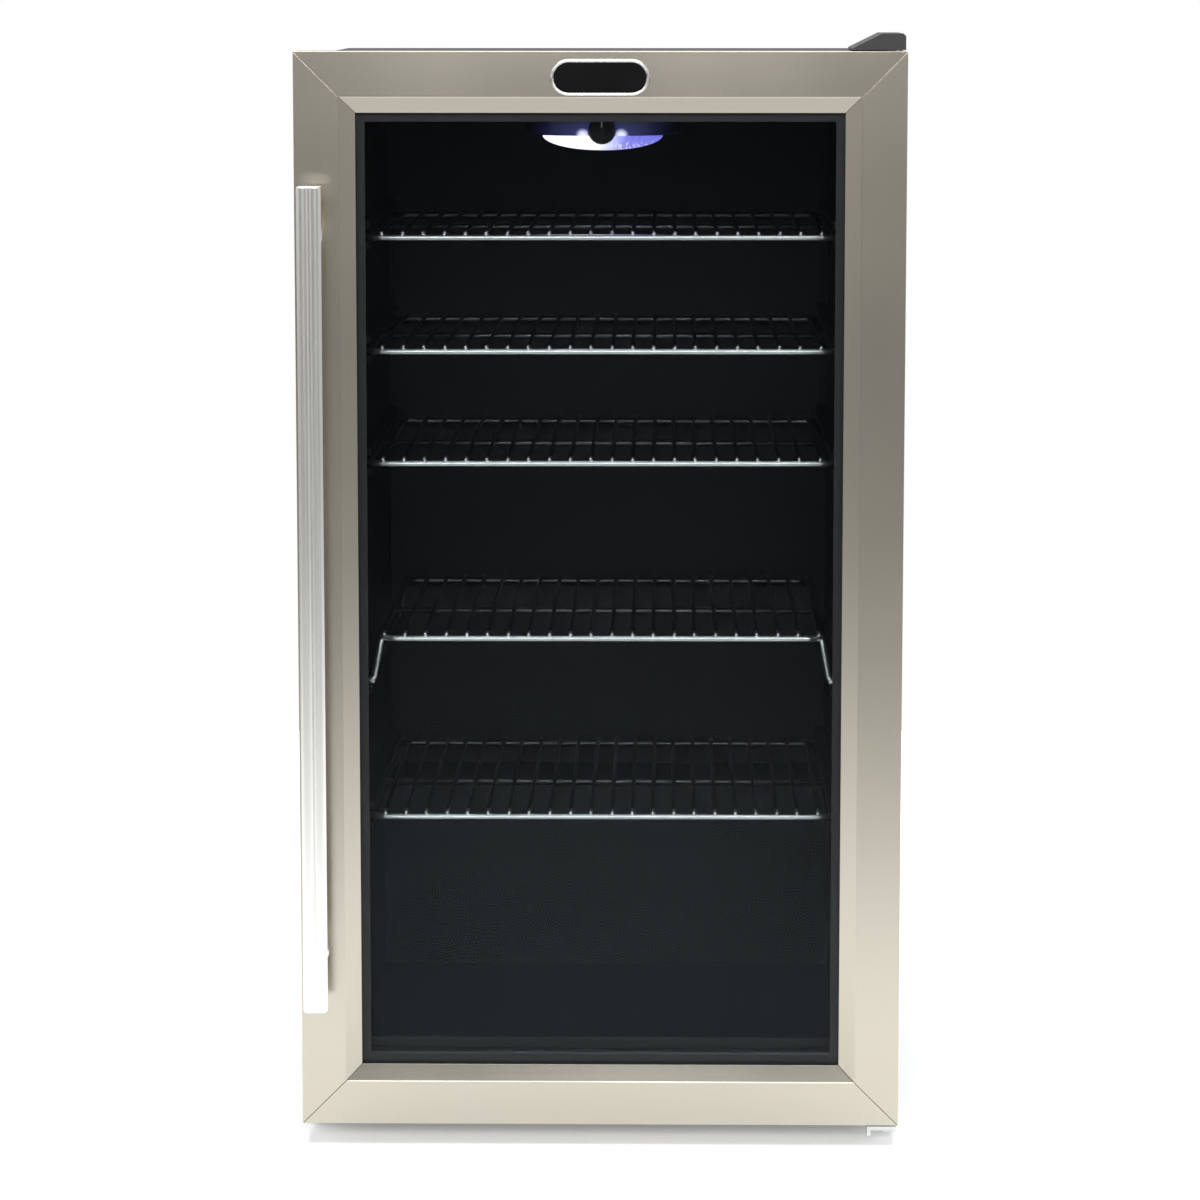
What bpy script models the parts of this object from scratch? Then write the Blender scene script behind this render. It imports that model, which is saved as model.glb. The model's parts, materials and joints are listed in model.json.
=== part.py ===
"""Glass-door wine cooler: an insulated cabinet with five wire shelves behind one hinged door.

Metres, X to the right, Y to the back, Z up. The origin is on the floor under the middle of the
whole appliance, from the handle's front to the condenser at the back.
"""

import math

import bmesh
import bpy
from mathutils import Matrix, Vector

# ---- driving dimensions -------------------------------------------------------------------------
WIDTH = 0.450  # door, and the widest part of the appliance
DOOR_HEIGHT = 0.806
DOOR_THICKNESS = 0.040
FLOOR_CLEARANCE = 0.016  # floor to the door's bottom edge
HANDLE_REACH = 0.040  # handle's front to the door's face
SEAL_GAP = 0.0105  # door's back to the cabinet's front
CABINET_DEPTH = 0.3895
COIL_STANDOFF = 0.030  # cabinet's back to the condenser's back
GAP = 0.0003  # between pieces that touch

SHELL_INSET = 0.002  # cabinet side behind the door's edge
SHELL_SHEET = 0.0012
SHELL_CORNER = 0.006
CABINET_DROP = 0.004  # cabinet top below the door's top
BASE_CLEARANCE = 0.014  # floor to the base pan
PAN_SHEET = 0.0015
FRONT_FRAME_THICKNESS = 0.0015
PANEL_SHEET = 0.0012
SIDE_INSULATION = 0.043  # appliance side to the inner wall
TOP_INSULATION = 0.048  # door top to the inner ceiling
FLOOR_INSULATION = 0.055  # door bottom to the inner floor
BACK_INSULATION = 0.040
LINER_SHEET = 0.002
HUMP_DEPTH = 0.103  # step in the floor over the machine bay
HUMP_HEIGHT = 0.149
BAY_INSULATION = 0.035  # between that step and the machine bay

TRIM_FACE = 0.033  # flat part of the steel door frame
TRIM_BEVEL = 0.012  # sloped inner part
TRIM_DROP = 0.006  # how far the slope goes back
TRIM_RETURN = 0.038  # how far the steel wraps round the door's edge
TRIM_SHEET = 0.0012
GLASS_THICKNESS = 0.004
GLASS_LAP = 0.008  # glass hidden behind the frame on each side
PANE_GAP = 0.012
SPACER_WIDTH = 0.005
LIP_INSET = 0.0045  # door's inner frame shows this much past the steel
GASKET_INSET = 0.0205
GASKET_WIDTH = 0.014
GASKET_GROOVE = 0.004

HANDLE_WIDTH = 0.0185
HANDLE_THICKNESS = 0.014
HANDLE_ABOVE_DOOR_FOOT = 0.095
HANDLE_BELOW_DOOR_TOP = 0.097
HANDLE_EDGE = 0.0045  # door's edge to the bar
POST_RADIUS = 0.006
POST_FROM_END = 0.038
BADGE_LENGTH = 0.073
BADGE_HEIGHT = 0.027
BADGE_THICKNESS = 0.0022
BADGE_BELOW_TOP = 0.019

PIN_RADIUS = 0.004
PIN_EDGE = 0.010  # hinge axis to the door's right edge
PIN_DEPTH = 0.020  # hinge axis behind the door's face
PIN_IN_DOOR = 0.012
BUSH_RADIUS = 0.007
BUSH_LENGTH = 0.014
RUN_CLEARANCE = 0.0001  # pin in its bush
HINGE_PLATE = 0.003
HINGE_PLATE_WIDTH = 0.031
HINGE_FROM_FACE = 0.008
HINGE_STEP = 0.004  # behind the cabinet's front edge, where the plate comes down onto the cabinet
SCREW_INSET = 0.008
LOWER_PLATE_WIDTH = 0.022
LOWER_PLATE_FROM_FACE = 0.006
LOWER_PLATE_REACH = 0.058  # back under the cabinet
EAR_SHEET = 0.0028
EAR_LENGTH = 0.030
EAR_DROPS = (0.0045, 0.0018)  # left and right, below the plate
PIN_HEAD = (0.0056, 0.0035, 0.0038)  # radius, height, drop below the plate
PIN_COLLAR = (0.0066, 0.0014)  # radius, height
HINGE_LIFT = 0.0018  # top hinge plate above the door
HINGE_REACH_BACK = 0.026  # hinge plates behind the cabinet's front
COVER_WALL = 0.0013
COVER_HEIGHT = 0.0130  # above the door's top
COVER_SLOPE = 0.022
SCREW_HOLE = 0.0024

SHELF_SIDE_GAP = 0.003  # shelf's edge to the liner
SHELF_FRONT = 0.017  # cabinet's front to the shelf's front edge
SHELF_BACK_GAP = 0.0125
RAIL = 0.005
SHELF_WIRE = 0.003
WIRE_PITCH = 0.01578
WIRE_SINK = 0.0005  # weld depth of a wire into its rail
SHELF_LEVELS = (0.82804, 0.66729, 0.50841, 0.19626)  # upper shelves' shares of the room over the lowest
SHELF_OVER_STEP = 0.019  # step in the floor to the lowest shelf
RAISED_SHELF = 4  # its deck stands on legs above its runners
MIDDLE_RAIL = 0.46  # its place along the shelf's depth
DECK_RISE = 0.033
DECK_INSET = 0.009  # raised deck narrower than its runners, each side
LEDGE_HEIGHT = 0.006
LEDGE_LAP = 0.005  # how far a ledge reaches under a shelf
LEDGE_START = 0.010
ANTI_TIP_GAP = 0.0015

FOOT_RADIUS = 0.016
FOOT_HEIGHT = 0.009
STUD_RADIUS = 0.004
STUD_TOP = 0.034
FOOT_INSET = 0.045
FOOT_FROM_FRONT = 0.035
FOOT_FROM_BACK = 0.035

LAMP_WIDTH = 0.124
LAMP_DEPTH = 0.076
LAMP_HEIGHT = 0.0165
LAMP_BACK = 0.0795  # cabinet's front to the lamp's middle
LENS_WIDTH = 0.0895
LENS_DEPTH = 0.0535
LENS_DROP = 0.010
LENS_LAP = 0.004  # the lens and the board each overlap what carries them by this
BOARD_HEIGHT = 0.006  # over the housing's lower edge
BOARD_SHEET = 0.0016
LIGHT_PITCH = 0.013
LIGHT_CHIP = (0.005, 0.006, 0.0014, 0.0004)  # width, length, drop below the board, depth sunk in it
LENS_WALL = 0.0015
KNOB_RADIUS = 0.0105
KNOB_LENGTH = 0.012
KNOB_DROP = 0.0125  # ceiling to the knob's middle
KNOB_STEM = 0.004
SWITCH_LENGTH = 0.026
SWITCH_WIDTH = 0.016
SWITCH_HEIGHT = 0.004
SWITCH_OFFSET = 0.108
SWITCH_RIM = 0.003
SWITCH_PLAY = 0.0006

COIL_TUBE = 0.0024  # radius
COIL_ROWS = 12
COIL_SIDE = 0.043  # cabinet side to the coil's bends
BRACKET_SHEET = 0.0012
BRACKET_WEB_HALF = 0.005
BRACKET_FLANGE_HALF = 0.011
BRACKET_INSET = 0.040  # from the turns of the coil to the bracket's middle
BRACKET_OVER = 0.018  # past the first and the last row
COIL_FOOT = 0.045  # above the back panel's lower edge
COIL_HEADROOM = 0.034
COMPRESSOR_RADIUS = 0.050
COMPRESSOR_STRETCH = 1.18
COMPRESSOR_HEIGHT = 0.122
COMPRESSOR_X = 0.050
MOUNT_PLATE = 0.0025
MOUNT_LENGTH = 0.160
MOUNT_WIDTH = 0.086
GROMMET_RADIUS = 0.008
GROMMET_HEIGHT = 0.012
TRAY_HEIGHT = 0.014
TRAY_LENGTH = 0.112
TRAY_WIDTH = 0.090
TRAY_WALL = 0.0018
RELAY_DEPTH = 0.033
RELAY_WIDTH = 0.044
RELAY_BOTTOM = 0.062
RELAY_TOP = 0.108
DRIER_X = -0.120
DRIER_FROM_BACK = 0.030
DRIER_BOTTOM = 0.050
CLAMP_X = -0.158
CLAMP_WIDTH = 0.020
CLAMP_HEIGHT = 0.014  # over the pan
CLAMP_FROM_BACK = 0.024
CLAMP_LENGTH = 0.012
CORD_RADIUS = 0.0038
DRAIN_RADIUS = 0.006
DRAIN_BORE = 0.0045
DRIER_RADIUS = 0.008
DRIER_LENGTH = 0.095
PIPE_RADIUS = 0.004

# ---- planes and lines worked out from them --------------------------------------------------------
OVERALL_DEPTH = HANDLE_REACH + DOOR_THICKNESS + SEAL_GAP + CABINET_DEPTH + COIL_STANDOFF
DOOR_FRONT = HANDLE_REACH - OVERALL_DEPTH / 2
DOOR_BACK = DOOR_FRONT + DOOR_THICKNESS
CABINET_FRONT = DOOR_BACK + SEAL_GAP
CABINET_BACK = CABINET_FRONT + CABINET_DEPTH
BODY_FRONT = CABINET_FRONT + FRONT_FRAME_THICKNESS + GAP
HALF = WIDTH / 2
DOOR_BOTTOM = FLOOR_CLEARANCE
DOOR_TOP = DOOR_BOTTOM + DOOR_HEIGHT
SHELL_HALF = HALF - SHELL_INSET
INSIDE_SHELL = SHELL_HALF - SHELL_SHEET
CABINET_TOP = DOOR_TOP - CABINET_DROP
UNDER_TOP = CABINET_TOP - SHELL_SHEET
PAN_TOP = BASE_CLEARANCE + PAN_SHEET
INNER_HALF = HALF - SIDE_INSULATION
CEILING = DOOR_TOP - TOP_INSULATION
FLOOR = DOOR_BOTTOM + FLOOR_INSULATION
INNER_BACK = CABINET_BACK - BACK_INSULATION
HUMP_FRONT = INNER_BACK - HUMP_DEPTH
HUMP_TOP = FLOOR + HUMP_HEIGHT
BAY_FRONT = HUMP_FRONT + BAY_INSULATION
BAY_TOP = HUMP_TOP - BAY_INSULATION
FOAM_BACK = CABINET_BACK - PANEL_SHEET - GAP
FOAM_HALF = INSIDE_SHELL - GAP

TRIM_WIDTH = TRIM_FACE + TRIM_BEVEL
OPENING_HALF = HALF - TRIM_WIDTH
OPENING_BOTTOM = DOOR_BOTTOM + TRIM_WIDTH
OPENING_TOP = DOOR_TOP - TRIM_WIDTH
CORE_FRONT = DOOR_FRONT + 0.7 * TRIM_DROP
OUTER_GLASS = DOOR_FRONT + TRIM_DROP + TRIM_SHEET + 2 * GAP
SPACER_FRONT = OUTER_GLASS + GLASS_THICKNESS + GAP
INNER_GLASS = SPACER_FRONT + PANE_GAP + GAP
POCKET_BACK = INNER_GLASS + GLASS_THICKNESS + GAP
HINGE_X = HALF - PIN_EDGE
HINGE_Y = DOOR_FRONT + PIN_DEPTH
BAR_X = -HALF + HANDLE_EDGE + HANDLE_WIDTH / 2
BAR_BOTTOM = DOOR_BOTTOM + HANDLE_ABOVE_DOOR_FOOT
BAR_TOP = DOOR_TOP - HANDLE_BELOW_DOOR_TOP
BAR_BACK = DOOR_FRONT - HANDLE_REACH + HANDLE_THICKNESS
SHELF_FACE = CABINET_FRONT + SHELF_FRONT
SHELF_HALF = INNER_HALF - SHELF_SIDE_GAP
SHELF_BACK = INNER_BACK - SHELF_BACK_GAP
LOWEST_SHELF = HUMP_TOP + SHELF_OVER_STEP
SHELF_ROOM = CEILING - LOWEST_SHELF
SHELF_HEIGHTS = (*(LOWEST_SHELF + level * SHELF_ROOM for level in SHELF_LEVELS), LOWEST_SHELF)
LAMP_Y = CABINET_FRONT + LAMP_BACK
COIL_Y = CABINET_BACK + COIL_STANDOFF - COIL_TUBE
COMPRESSOR_Y = (BAY_FRONT + CABINET_BACK) / 2
MOUNT_BOTTOM = PAN_TOP + GAP + GROMMET_HEIGHT + GAP
DRAIN_Y = HUMP_FRONT + 0.063

for obj in list(bpy.data.objects):
    bpy.data.objects.remove(obj, do_unlink=True)

PARTS = bpy.data.collections.new("wine_cooler")
CUTTERS = bpy.data.collections.new("cutters")
bpy.context.scene.collection.children.link(PARTS)
bpy.context.scene.collection.children.link(CUTTERS)


# ---- materials -------------------------------------------------------------------------------------
def look(name, colour, roughness, metallic=0.0, alpha=1.0, glow=0.0):
    material = bpy.data.materials.new(name)
    material.use_nodes = True
    shader = material.node_tree.nodes["Principled BSDF"]
    shader.inputs["Base Color"].default_value = (*colour, 1.0)
    shader.inputs["Roughness"].default_value = roughness
    shader.inputs["Metallic"].default_value = metallic
    shader.inputs["Alpha"].default_value = alpha
    shader.inputs["Emission Color"].default_value = (*colour, 1.0)
    shader.inputs["Emission Strength"].default_value = glow
    material.diffuse_color = (*colour, alpha)
    return material


LOOKS = {
    "brushed_steel": ((0.60, 0.57, 0.52), 0.32, 1.0),
    "handle_steel": ((0.72, 0.71, 0.67), 0.22, 1.0),
    "black_steel": ((0.016, 0.016, 0.018), 0.45),
    "black_plastic": ((0.020, 0.020, 0.022), 0.40),
    "liner_plastic": ((0.022, 0.024, 0.027), 0.42),
    "door_plastic": ((0.012, 0.012, 0.013), 0.35),
    "badge_black": ((0.006, 0.006, 0.007), 0.12),
    "tinted_glass": ((0.030, 0.034, 0.038), 0.03, 0.0, 0.35),
    "clear_glass": ((0.80, 0.85, 0.84), 0.02, 0.0, 0.12),
    "gasket_rubber": ((0.030, 0.030, 0.032), 0.62),
    "rubber": ((0.022, 0.022, 0.022), 0.75),
    "shelf_chrome": ((0.66, 0.67, 0.68), 0.12, 1.0),
    "plated_steel": ((0.52, 0.52, 0.50), 0.28, 1.0),
    "white_nylon": ((0.74, 0.73, 0.69), 0.45),
    "aluminium": ((0.66, 0.67, 0.68), 0.38, 1.0),
    "copper": ((0.72, 0.36, 0.20), 0.30, 1.0),
    "foam": ((0.76, 0.66, 0.42), 0.90),
    "lens_plastic": ((0.62, 0.66, 0.92), 0.20, 0.0, 1.0, 1.5),
    "circuit_board": ((0.60, 0.62, 0.60), 0.50),
}


# ---- shapes ----------------------------------------------------------------------------------------
def mesh_of(bm, name="shape"):
    bmesh.ops.recalc_face_normals(bm, faces=bm.faces)
    mesh = bpy.data.meshes.new(name)
    bm.to_mesh(mesh)
    bm.free()
    return mesh


def box_mesh(*boxes):
    """Boxes given as (low corner, high corner), which don't touch each other."""
    bm = bmesh.new()
    for low, high in boxes:
        low, high = Vector(low), Vector(high)
        size = high - low
        place = Matrix.Translation((low + high) / 2) @ Matrix.Diagonal((*size, 1.0))
        bmesh.ops.create_cube(bm, size=1.0, matrix=place)
    return mesh_of(bm)


AXES = {
    "X": Matrix(((0, 0, 1), (1, 0, 0), (0, 1, 0))),  # an outline in Y, Z
    "Y": Matrix(((1, 0, 0), (0, 0, -1), (0, 1, 0))),  # an outline in X, Z
    "Z": Matrix.Identity(3),  # an outline in X, Y
}


def extrusion_mesh(outlines, axis, start, end):
    """Closed outlines in a plane, the later ones as holes, drawn out along an axis."""
    curve = bpy.data.curves.new("outline", "CURVE")
    curve.dimensions = "2D"
    curve.fill_mode = "BOTH"
    curve.extrude = (end - start) / 2
    for outline in outlines:
        spline = curve.splines.new("POLY")
        spline.points.add(len(outline) - 1)
        for point, (across, up) in zip(spline.points, outline):
            point.co = (across, up, 0.0, 1.0)
        spline.use_cyclic_u = True
    guide = bpy.data.objects.new("outline", curve)
    bpy.context.scene.collection.objects.link(guide)
    graph = bpy.context.evaluated_depsgraph_get()
    mesh = bpy.data.meshes.new_from_object(guide.evaluated_get(graph))
    bpy.data.objects.remove(guide, do_unlink=True)
    middle = (start + end) / 2
    shift = {"X": (middle, 0, 0), "Y": (0, middle, 0), "Z": (0, 0, middle)}[axis]
    mesh.transform(Matrix.Translation(shift) @ AXES[axis].to_4x4())
    bm = bmesh.new()
    bm.from_mesh(mesh)
    bmesh.ops.remove_doubles(bm, verts=bm.verts, dist=1e-6)
    return mesh_of(bm)


def cylinder_mesh(base, radius, length, axis="Z", segments=24, top_radius=None, squash=1.0):
    """A cylinder or cone from its base along +axis; squash flattens it across Y."""
    bm = bmesh.new()
    top = radius if top_radius is None else top_radius
    lift = Matrix.Translation((0, 0, length / 2))
    bmesh.ops.create_cone(
        bm, cap_ends=True, segments=segments, radius1=radius, radius2=top, depth=length, matrix=lift
    )
    turn = {"X": Matrix.Rotation(math.pi / 2, 4, "Y"), "Y": Matrix.Rotation(-math.pi / 2, 4, "X")}
    spin = turn.get(axis, Matrix.Identity(4))
    bm.transform(Matrix.Translation(base) @ spin @ Matrix.Diagonal((1, squash, 1, 1)))
    return mesh_of(bm)


def add(name, mesh, finish, pivot=None):
    """A node from a mesh in world coordinates, hung on its body's empty."""
    mesh.shade_smooth()
    mesh.set_sharp_from_angle(angle=math.radians(35))
    mesh.materials.clear()
    mesh.materials.append(look(name, *LOOKS[finish]))
    node = bpy.data.objects.new(name, mesh)
    node.parent = pivot or CABINET
    mesh.transform(Matrix.Translation(-node.parent.location))
    PARTS.objects.link(node)
    return node


def pivot(name, place):
    empty = bpy.data.objects.new(name, None)
    empty.location = place
    empty.empty_display_size = 0.05
    PARTS.objects.link(empty)
    return empty


def tool(mesh):
    helper = bpy.data.objects.new("cutter", mesh)
    helper.hide_render = True
    helper.display_type = "WIRE"
    CUTTERS.objects.link(helper)
    return helper


def boolean(node, operation, *meshes):
    for mesh in meshes:
        modifier = node.modifiers.new(operation.title(), "BOOLEAN")
        modifier.operation = operation
        modifier.solver = "EXACT"
        modifier.object = tool(mesh)


def cut(node, *meshes):
    boolean(node, "DIFFERENCE", *meshes)


def join(node, *meshes):
    boolean(node, "UNION", *meshes)


def turned(name, profile, place, finish, parent=None, steps=32, stretch=1.0):
    """A profile of (radius, height) points, run down its outer side, spun about the vertical."""
    mesh = bpy.data.meshes.new(name)
    points = [(radius, 0.0, height) for radius, height in profile]
    mesh.from_pydata(points, [(i, i + 1) for i in range(len(points) - 1)], [])
    mesh.materials.append(look(name, *LOOKS[finish]))
    node = bpy.data.objects.new(name, mesh)
    node.parent = parent or CABINET
    node.location = Vector(place) - node.parent.location
    node.scale.x = stretch
    screw = node.modifiers.new("Screw", "SCREW")
    screw.steps = screw.render_steps = steps
    screw.use_merge_vertices = True
    screw.merge_threshold = 0.0001
    screw.use_smooth_shade = True
    PARTS.objects.link(node)
    return node


def tube(name, route, radius, finish, sides=1, parent=None):
    """A pipe along straight runs and sampled bends, with filled ends."""
    curve = bpy.data.curves.new(name, "CURVE")
    curve.dimensions = "3D"
    curve.bevel_depth = radius
    curve.bevel_resolution = sides
    curve.use_fill_caps = True
    spline = curve.splines.new("POLY")
    spline.points.add(len(route) - 1)
    node = bpy.data.objects.new(name, curve)
    node.parent = parent or CABINET
    for point, place in zip(spline.points, route):
        point.co = (*(Vector(place) - node.parent.location), 1.0)
    curve.materials.append(look(name, *LOOKS[finish]))
    PARTS.objects.link(node)
    return node


def arc(centre, radius, first, last, steps):
    """Points on an arc in a plane, angles in degrees."""
    angles = [math.radians(first + (last - first) * i / steps) for i in range(steps + 1)]
    return [(centre[0] + radius * math.cos(a), centre[1] + radius * math.sin(a)) for a in angles]


def rectangle(left, right, bottom, top):
    return [(left, bottom), (right, bottom), (right, top), (left, top)]


def rounded(left, right, bottom, top, radius, steps=4):
    corners = (
        ((right - radius, bottom + radius), -90),
        ((right - radius, top - radius), 0),
        ((left + radius, top - radius), 90),
        ((left + radius, bottom + radius), 180),
    )
    return [p for centre, turn in corners for p in arc(centre, radius, turn, turn + 90, steps)]


def bent(points, radius, steps=4):
    """A route through points with each corner rounded to a radius."""
    points = [Vector(p) for p in points]
    route = [points[0]]
    for before, corner, after in zip(points, points[1:], points[2:]):
        back, ahead = (before - corner).normalized(), (after - corner).normalized()
        half = back.angle(ahead) / 2
        reach = radius / math.tan(half)
        centre = corner + (back + ahead).normalized() * radius / math.sin(half)
        first, last = corner + back * reach - centre, corner + ahead * reach - centre
        route += [centre + first.lerp(last, i / steps).normalized() * radius for i in range(steps + 1)]
    return route + [points[-1]]


# ---- cabinet ---------------------------------------------------------------------------------------
def cavity(grow):
    """Side outline of the inside, stepped over the machine bay, grown outwards by a sheet."""
    front = CABINET_FRONT - 0.01 if grow == 0 else BODY_FRONT
    return [
        (front, FLOOR - grow),
        (HUMP_FRONT + grow, FLOOR - grow),
        (HUMP_FRONT + grow, HUMP_TOP - grow),
        (INNER_BACK + grow, HUMP_TOP - grow),
        (INNER_BACK + grow, CEILING + grow),
        (front, CEILING + grow),
    ]


def shell_arch(half, top, radius):
    """An arch with rounded shoulders, open at the base pan."""
    right = [(half, BASE_CLEARANCE)] + arc((half - radius, top - radius), radius, 0, 90, 4)
    return right + [(-x, z) for x, z in reversed(right)]


def inside_arch(bottom):
    """What fits inside the shell: the same arch with its sides cut off level at the bottom."""
    arch = shell_arch(FOAM_HALF, UNDER_TOP - GAP, SHELL_CORNER - SHELL_SHEET)
    return [(x, max(z, bottom)) for x, z in arch]


def cabinet_shell():
    outer = shell_arch(SHELL_HALF, CABINET_TOP, SHELL_CORNER)
    inner = shell_arch(INSIDE_SHELL, UNDER_TOP, SHELL_CORNER - SHELL_SHEET)
    wrap = extrusion_mesh([outer + inner[::-1]], "Y", BODY_FRONT, CABINET_BACK)
    add("cabinet_shell", wrap, "black_steel")


def cabinet_body():
    low, high = BASE_CLEARANCE, CABINET_TOP
    back = CABINET_FRONT + FRONT_FRAME_THICKNESS
    rim = rectangle(-SHELL_HALF, SHELL_HALF, low, high)
    hole = rectangle(-INNER_HALF, INNER_HALF, FLOOR, CEILING)
    add("front_frame", extrusion_mesh([rim, hole], "Y", CABINET_FRONT, back), "black_steel")

    pan = add(
        "base_pan",
        box_mesh(((-FOAM_HALF, BODY_FRONT, BASE_CLEARANCE), (FOAM_HALF, CABINET_BACK, PAN_TOP))),
        "black_steel",
    )
    lip_top = PAN_TOP + 0.014
    lip = (-FOAM_HALF, CABINET_BACK - PAN_SHEET, BASE_CLEARANCE), (FOAM_HALF, CABINET_BACK, lip_top)
    join(pan, box_mesh(lip))
    foot_x, foot_y = HALF - FOOT_INSET, CABINET_FRONT + FOOT_FROM_FRONT
    bore = STUD_RADIUS + GAP
    for side in (-1, 1):
        cut(pan, cylinder_mesh((side * foot_x, foot_y, 0), bore, 0.03))

    add(
        "back_panel",
        extrusion_mesh([inside_arch(BAY_TOP + GAP)], "Y", CABINET_BACK - PANEL_SHEET, CABINET_BACK),
        "black_steel",
    )

    sheet = PANEL_SHEET
    bay = [
        (BAY_FRONT - sheet, PAN_TOP + GAP),
        (BAY_FRONT, PAN_TOP + GAP),
        (BAY_FRONT, BAY_TOP - sheet),
        (FOAM_BACK, BAY_TOP - sheet),
        (FOAM_BACK, BAY_TOP),
        (BAY_FRONT - sheet, BAY_TOP),
    ]
    bay_panel = add("bay_panel", extrusion_mesh([bay], "X", -FOAM_HALF, FOAM_HALF), "plated_steel")
    drain_hole = cylinder_mesh((COMPRESSOR_X, DRAIN_Y, BAY_TOP - 0.02), DRAIN_RADIUS + GAP, 0.04)
    cut(bay_panel, drain_hole)


def insulation():
    block = extrusion_mesh([inside_arch(PAN_TOP + GAP)], "Y", BODY_FRONT, FOAM_BACK)
    foam = add("insulation_foam", block, "foam")
    outline = cavity(LINER_SHEET + GAP)
    outline = [(y - 0.01 if y == BODY_FRONT else y, z) for y, z in outline]
    half = INNER_HALF + LINER_SHEET + GAP
    bay = [
        (BAY_FRONT - PANEL_SHEET - GAP, 0.0),
        (CABINET_BACK, 0.0),
        (CABINET_BACK, BAY_TOP + GAP),
        (BAY_FRONT - PANEL_SHEET - GAP, BAY_TOP + GAP),
    ]
    plate_low, plate_high = evaporator_box(GAP)
    foot_x, foot_y = HALF - FOOT_INSET, CABINET_FRONT + FOOT_FROM_FRONT
    cut(
        foam,
        extrusion_mesh([outline], "X", -half, half),
        extrusion_mesh([bay], "X", -HALF, HALF),
        box_mesh((plate_low, plate_high)),
        cylinder_mesh((COMPRESSOR_X, DRAIN_Y, BAY_TOP - 0.01), DRAIN_RADIUS + GAP, BAY_INSULATION + 0.02),
        cylinder_mesh((-foot_x, foot_y, 0), STUD_RADIUS + 2 * GAP, STUD_TOP + 0.002),
        cylinder_mesh((foot_x, foot_y, 0), STUD_RADIUS + 2 * GAP, STUD_TOP + 0.002),
    )


def evaporator_box(grow=0.0):
    """The cold plate stands against the outside of the liner's back wall."""
    face = INNER_BACK + LINER_SHEET + GAP
    low = (-INNER_HALF + 0.022 - grow, face - grow, HUMP_TOP + 0.020 - grow)
    high = (INNER_HALF - 0.022 + grow, face + 0.0018 + grow, CEILING - 0.034 + grow)
    return low, high


def shelf_ledges(side):
    """A ledge under each shelf and an anti-tip rib over each flat one, down one side wall."""
    inner, wall = SHELF_HALF - LEDGE_LAP, INNER_HALF + LINER_SHEET / 2
    left, right = sorted((side * inner, side * wall))
    front, back = CABINET_FRONT + LEDGE_START, INNER_BACK - 0.004
    boxes = []
    for number, height in enumerate(SHELF_HEIGHTS, 1):
        under = height - RAIL / 2 - GAP
        boxes.append(((left, front, under - LEDGE_HEIGHT), (right, back, under)))
        if number != RAISED_SHELF:
            over = height + RAIL / 2 + SHELF_WIRE + ANTI_TIP_GAP
            boxes.append(((left, front, over), (right, back, over + LEDGE_HEIGHT)))
    return box_mesh(*boxes)


def liner():
    half = INNER_HALF + LINER_SHEET
    node = add("inner_liner", extrusion_mesh([cavity(LINER_SHEET)], "X", -half, half), "liner_plastic")
    cut(node, extrusion_mesh([cavity(0.0)], "X", -INNER_HALF, INNER_HALF))
    join(node, shelf_ledges(-1), shelf_ledges(1))
    cut(node, cylinder_mesh((COMPRESSOR_X, DRAIN_Y, HUMP_TOP - 0.01), DRAIN_BORE, 0.02, segments=12))
    add("evaporator_plate", box_mesh(evaporator_box()), "aluminium")


# ---- hinges, on the cabinet ------------------------------------------------------------------------
def top_hinge():
    low = CABINET_TOP + GAP
    lifted = DOOR_TOP + HINGE_LIFT
    front, back = DOOR_FRONT + HINGE_FROM_FACE, CABINET_FRONT + HINGE_REACH_BACK
    step = CABINET_FRONT + HINGE_STEP
    side = [
        (front, lifted),
        (step - 0.003, lifted),
        (step, low),
        (back, low),
        (back, low + HINGE_PLATE),
        (step + 0.002, low + HINGE_PLATE),
        (step - 0.001, lifted + HINGE_PLATE),
        (front, lifted + HINGE_PLATE),
    ]
    right = HALF - 0.003
    left = right - HINGE_PLATE_WIDTH
    bracket = add("top_hinge_bracket", extrusion_mesh([side], "X", left, right), "plated_steel")
    screw_y = (step + back) / 2 + 0.002
    for screw_x in (left + SCREW_INSET, right - SCREW_INSET):
        cut(bracket, cylinder_mesh((screw_x, screw_y, CABINET_TOP - 0.01), SCREW_HOLE, 0.03, segments=12))
    pin_low = DOOR_TOP - PIN_IN_DOOR
    add(
        "top_hinge_pin",
        cylinder_mesh((HINGE_X, HINGE_Y, pin_low), PIN_RADIUS, lifted - GAP - pin_low),
        "plated_steel",
    )

    top = DOOR_TOP + COVER_HEIGHT
    edge = left - 0.0065
    outer_right = right + COVER_WALL + 0.0004
    wedge = [
        (edge, low),
        (outer_right, low),
        (outer_right, top - 0.002),
        (outer_right - 0.002, top),
        (edge + COVER_SLOPE, top),
        (edge, DOOR_TOP + 0.0022),
    ]
    cover_front, cover_back = DOOR_FRONT + 0.004, back + 0.004
    cover = add("top_hinge_cover", extrusion_mesh([wedge], "Y", cover_front, cover_back), "black_plastic")
    clear = 0.0005
    head_room = low + HINGE_PLATE + 0.0035
    inside = [
        (front - clear, low - 0.01),
        (back + clear, low - 0.01),
        (back + clear, head_room),
        (step + 0.004, lifted + HINGE_PLATE + clear),
        (front - clear, lifted + HINGE_PLATE + clear),
    ]
    over_door = [
        (cover_front - 0.01, low - 0.01),
        (CABINET_FRONT + 0.001, low - 0.01),
        (CABINET_FRONT + 0.001, DOOR_TOP + 0.0010),
        (cover_front - 0.01, DOOR_TOP + 0.0010),
    ]
    cut(
        cover,
        extrusion_mesh([inside], "X", left - clear, right + clear / 2),
        extrusion_mesh([over_door], "X", edge - 0.01, HALF + 0.01),
    )


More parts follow.
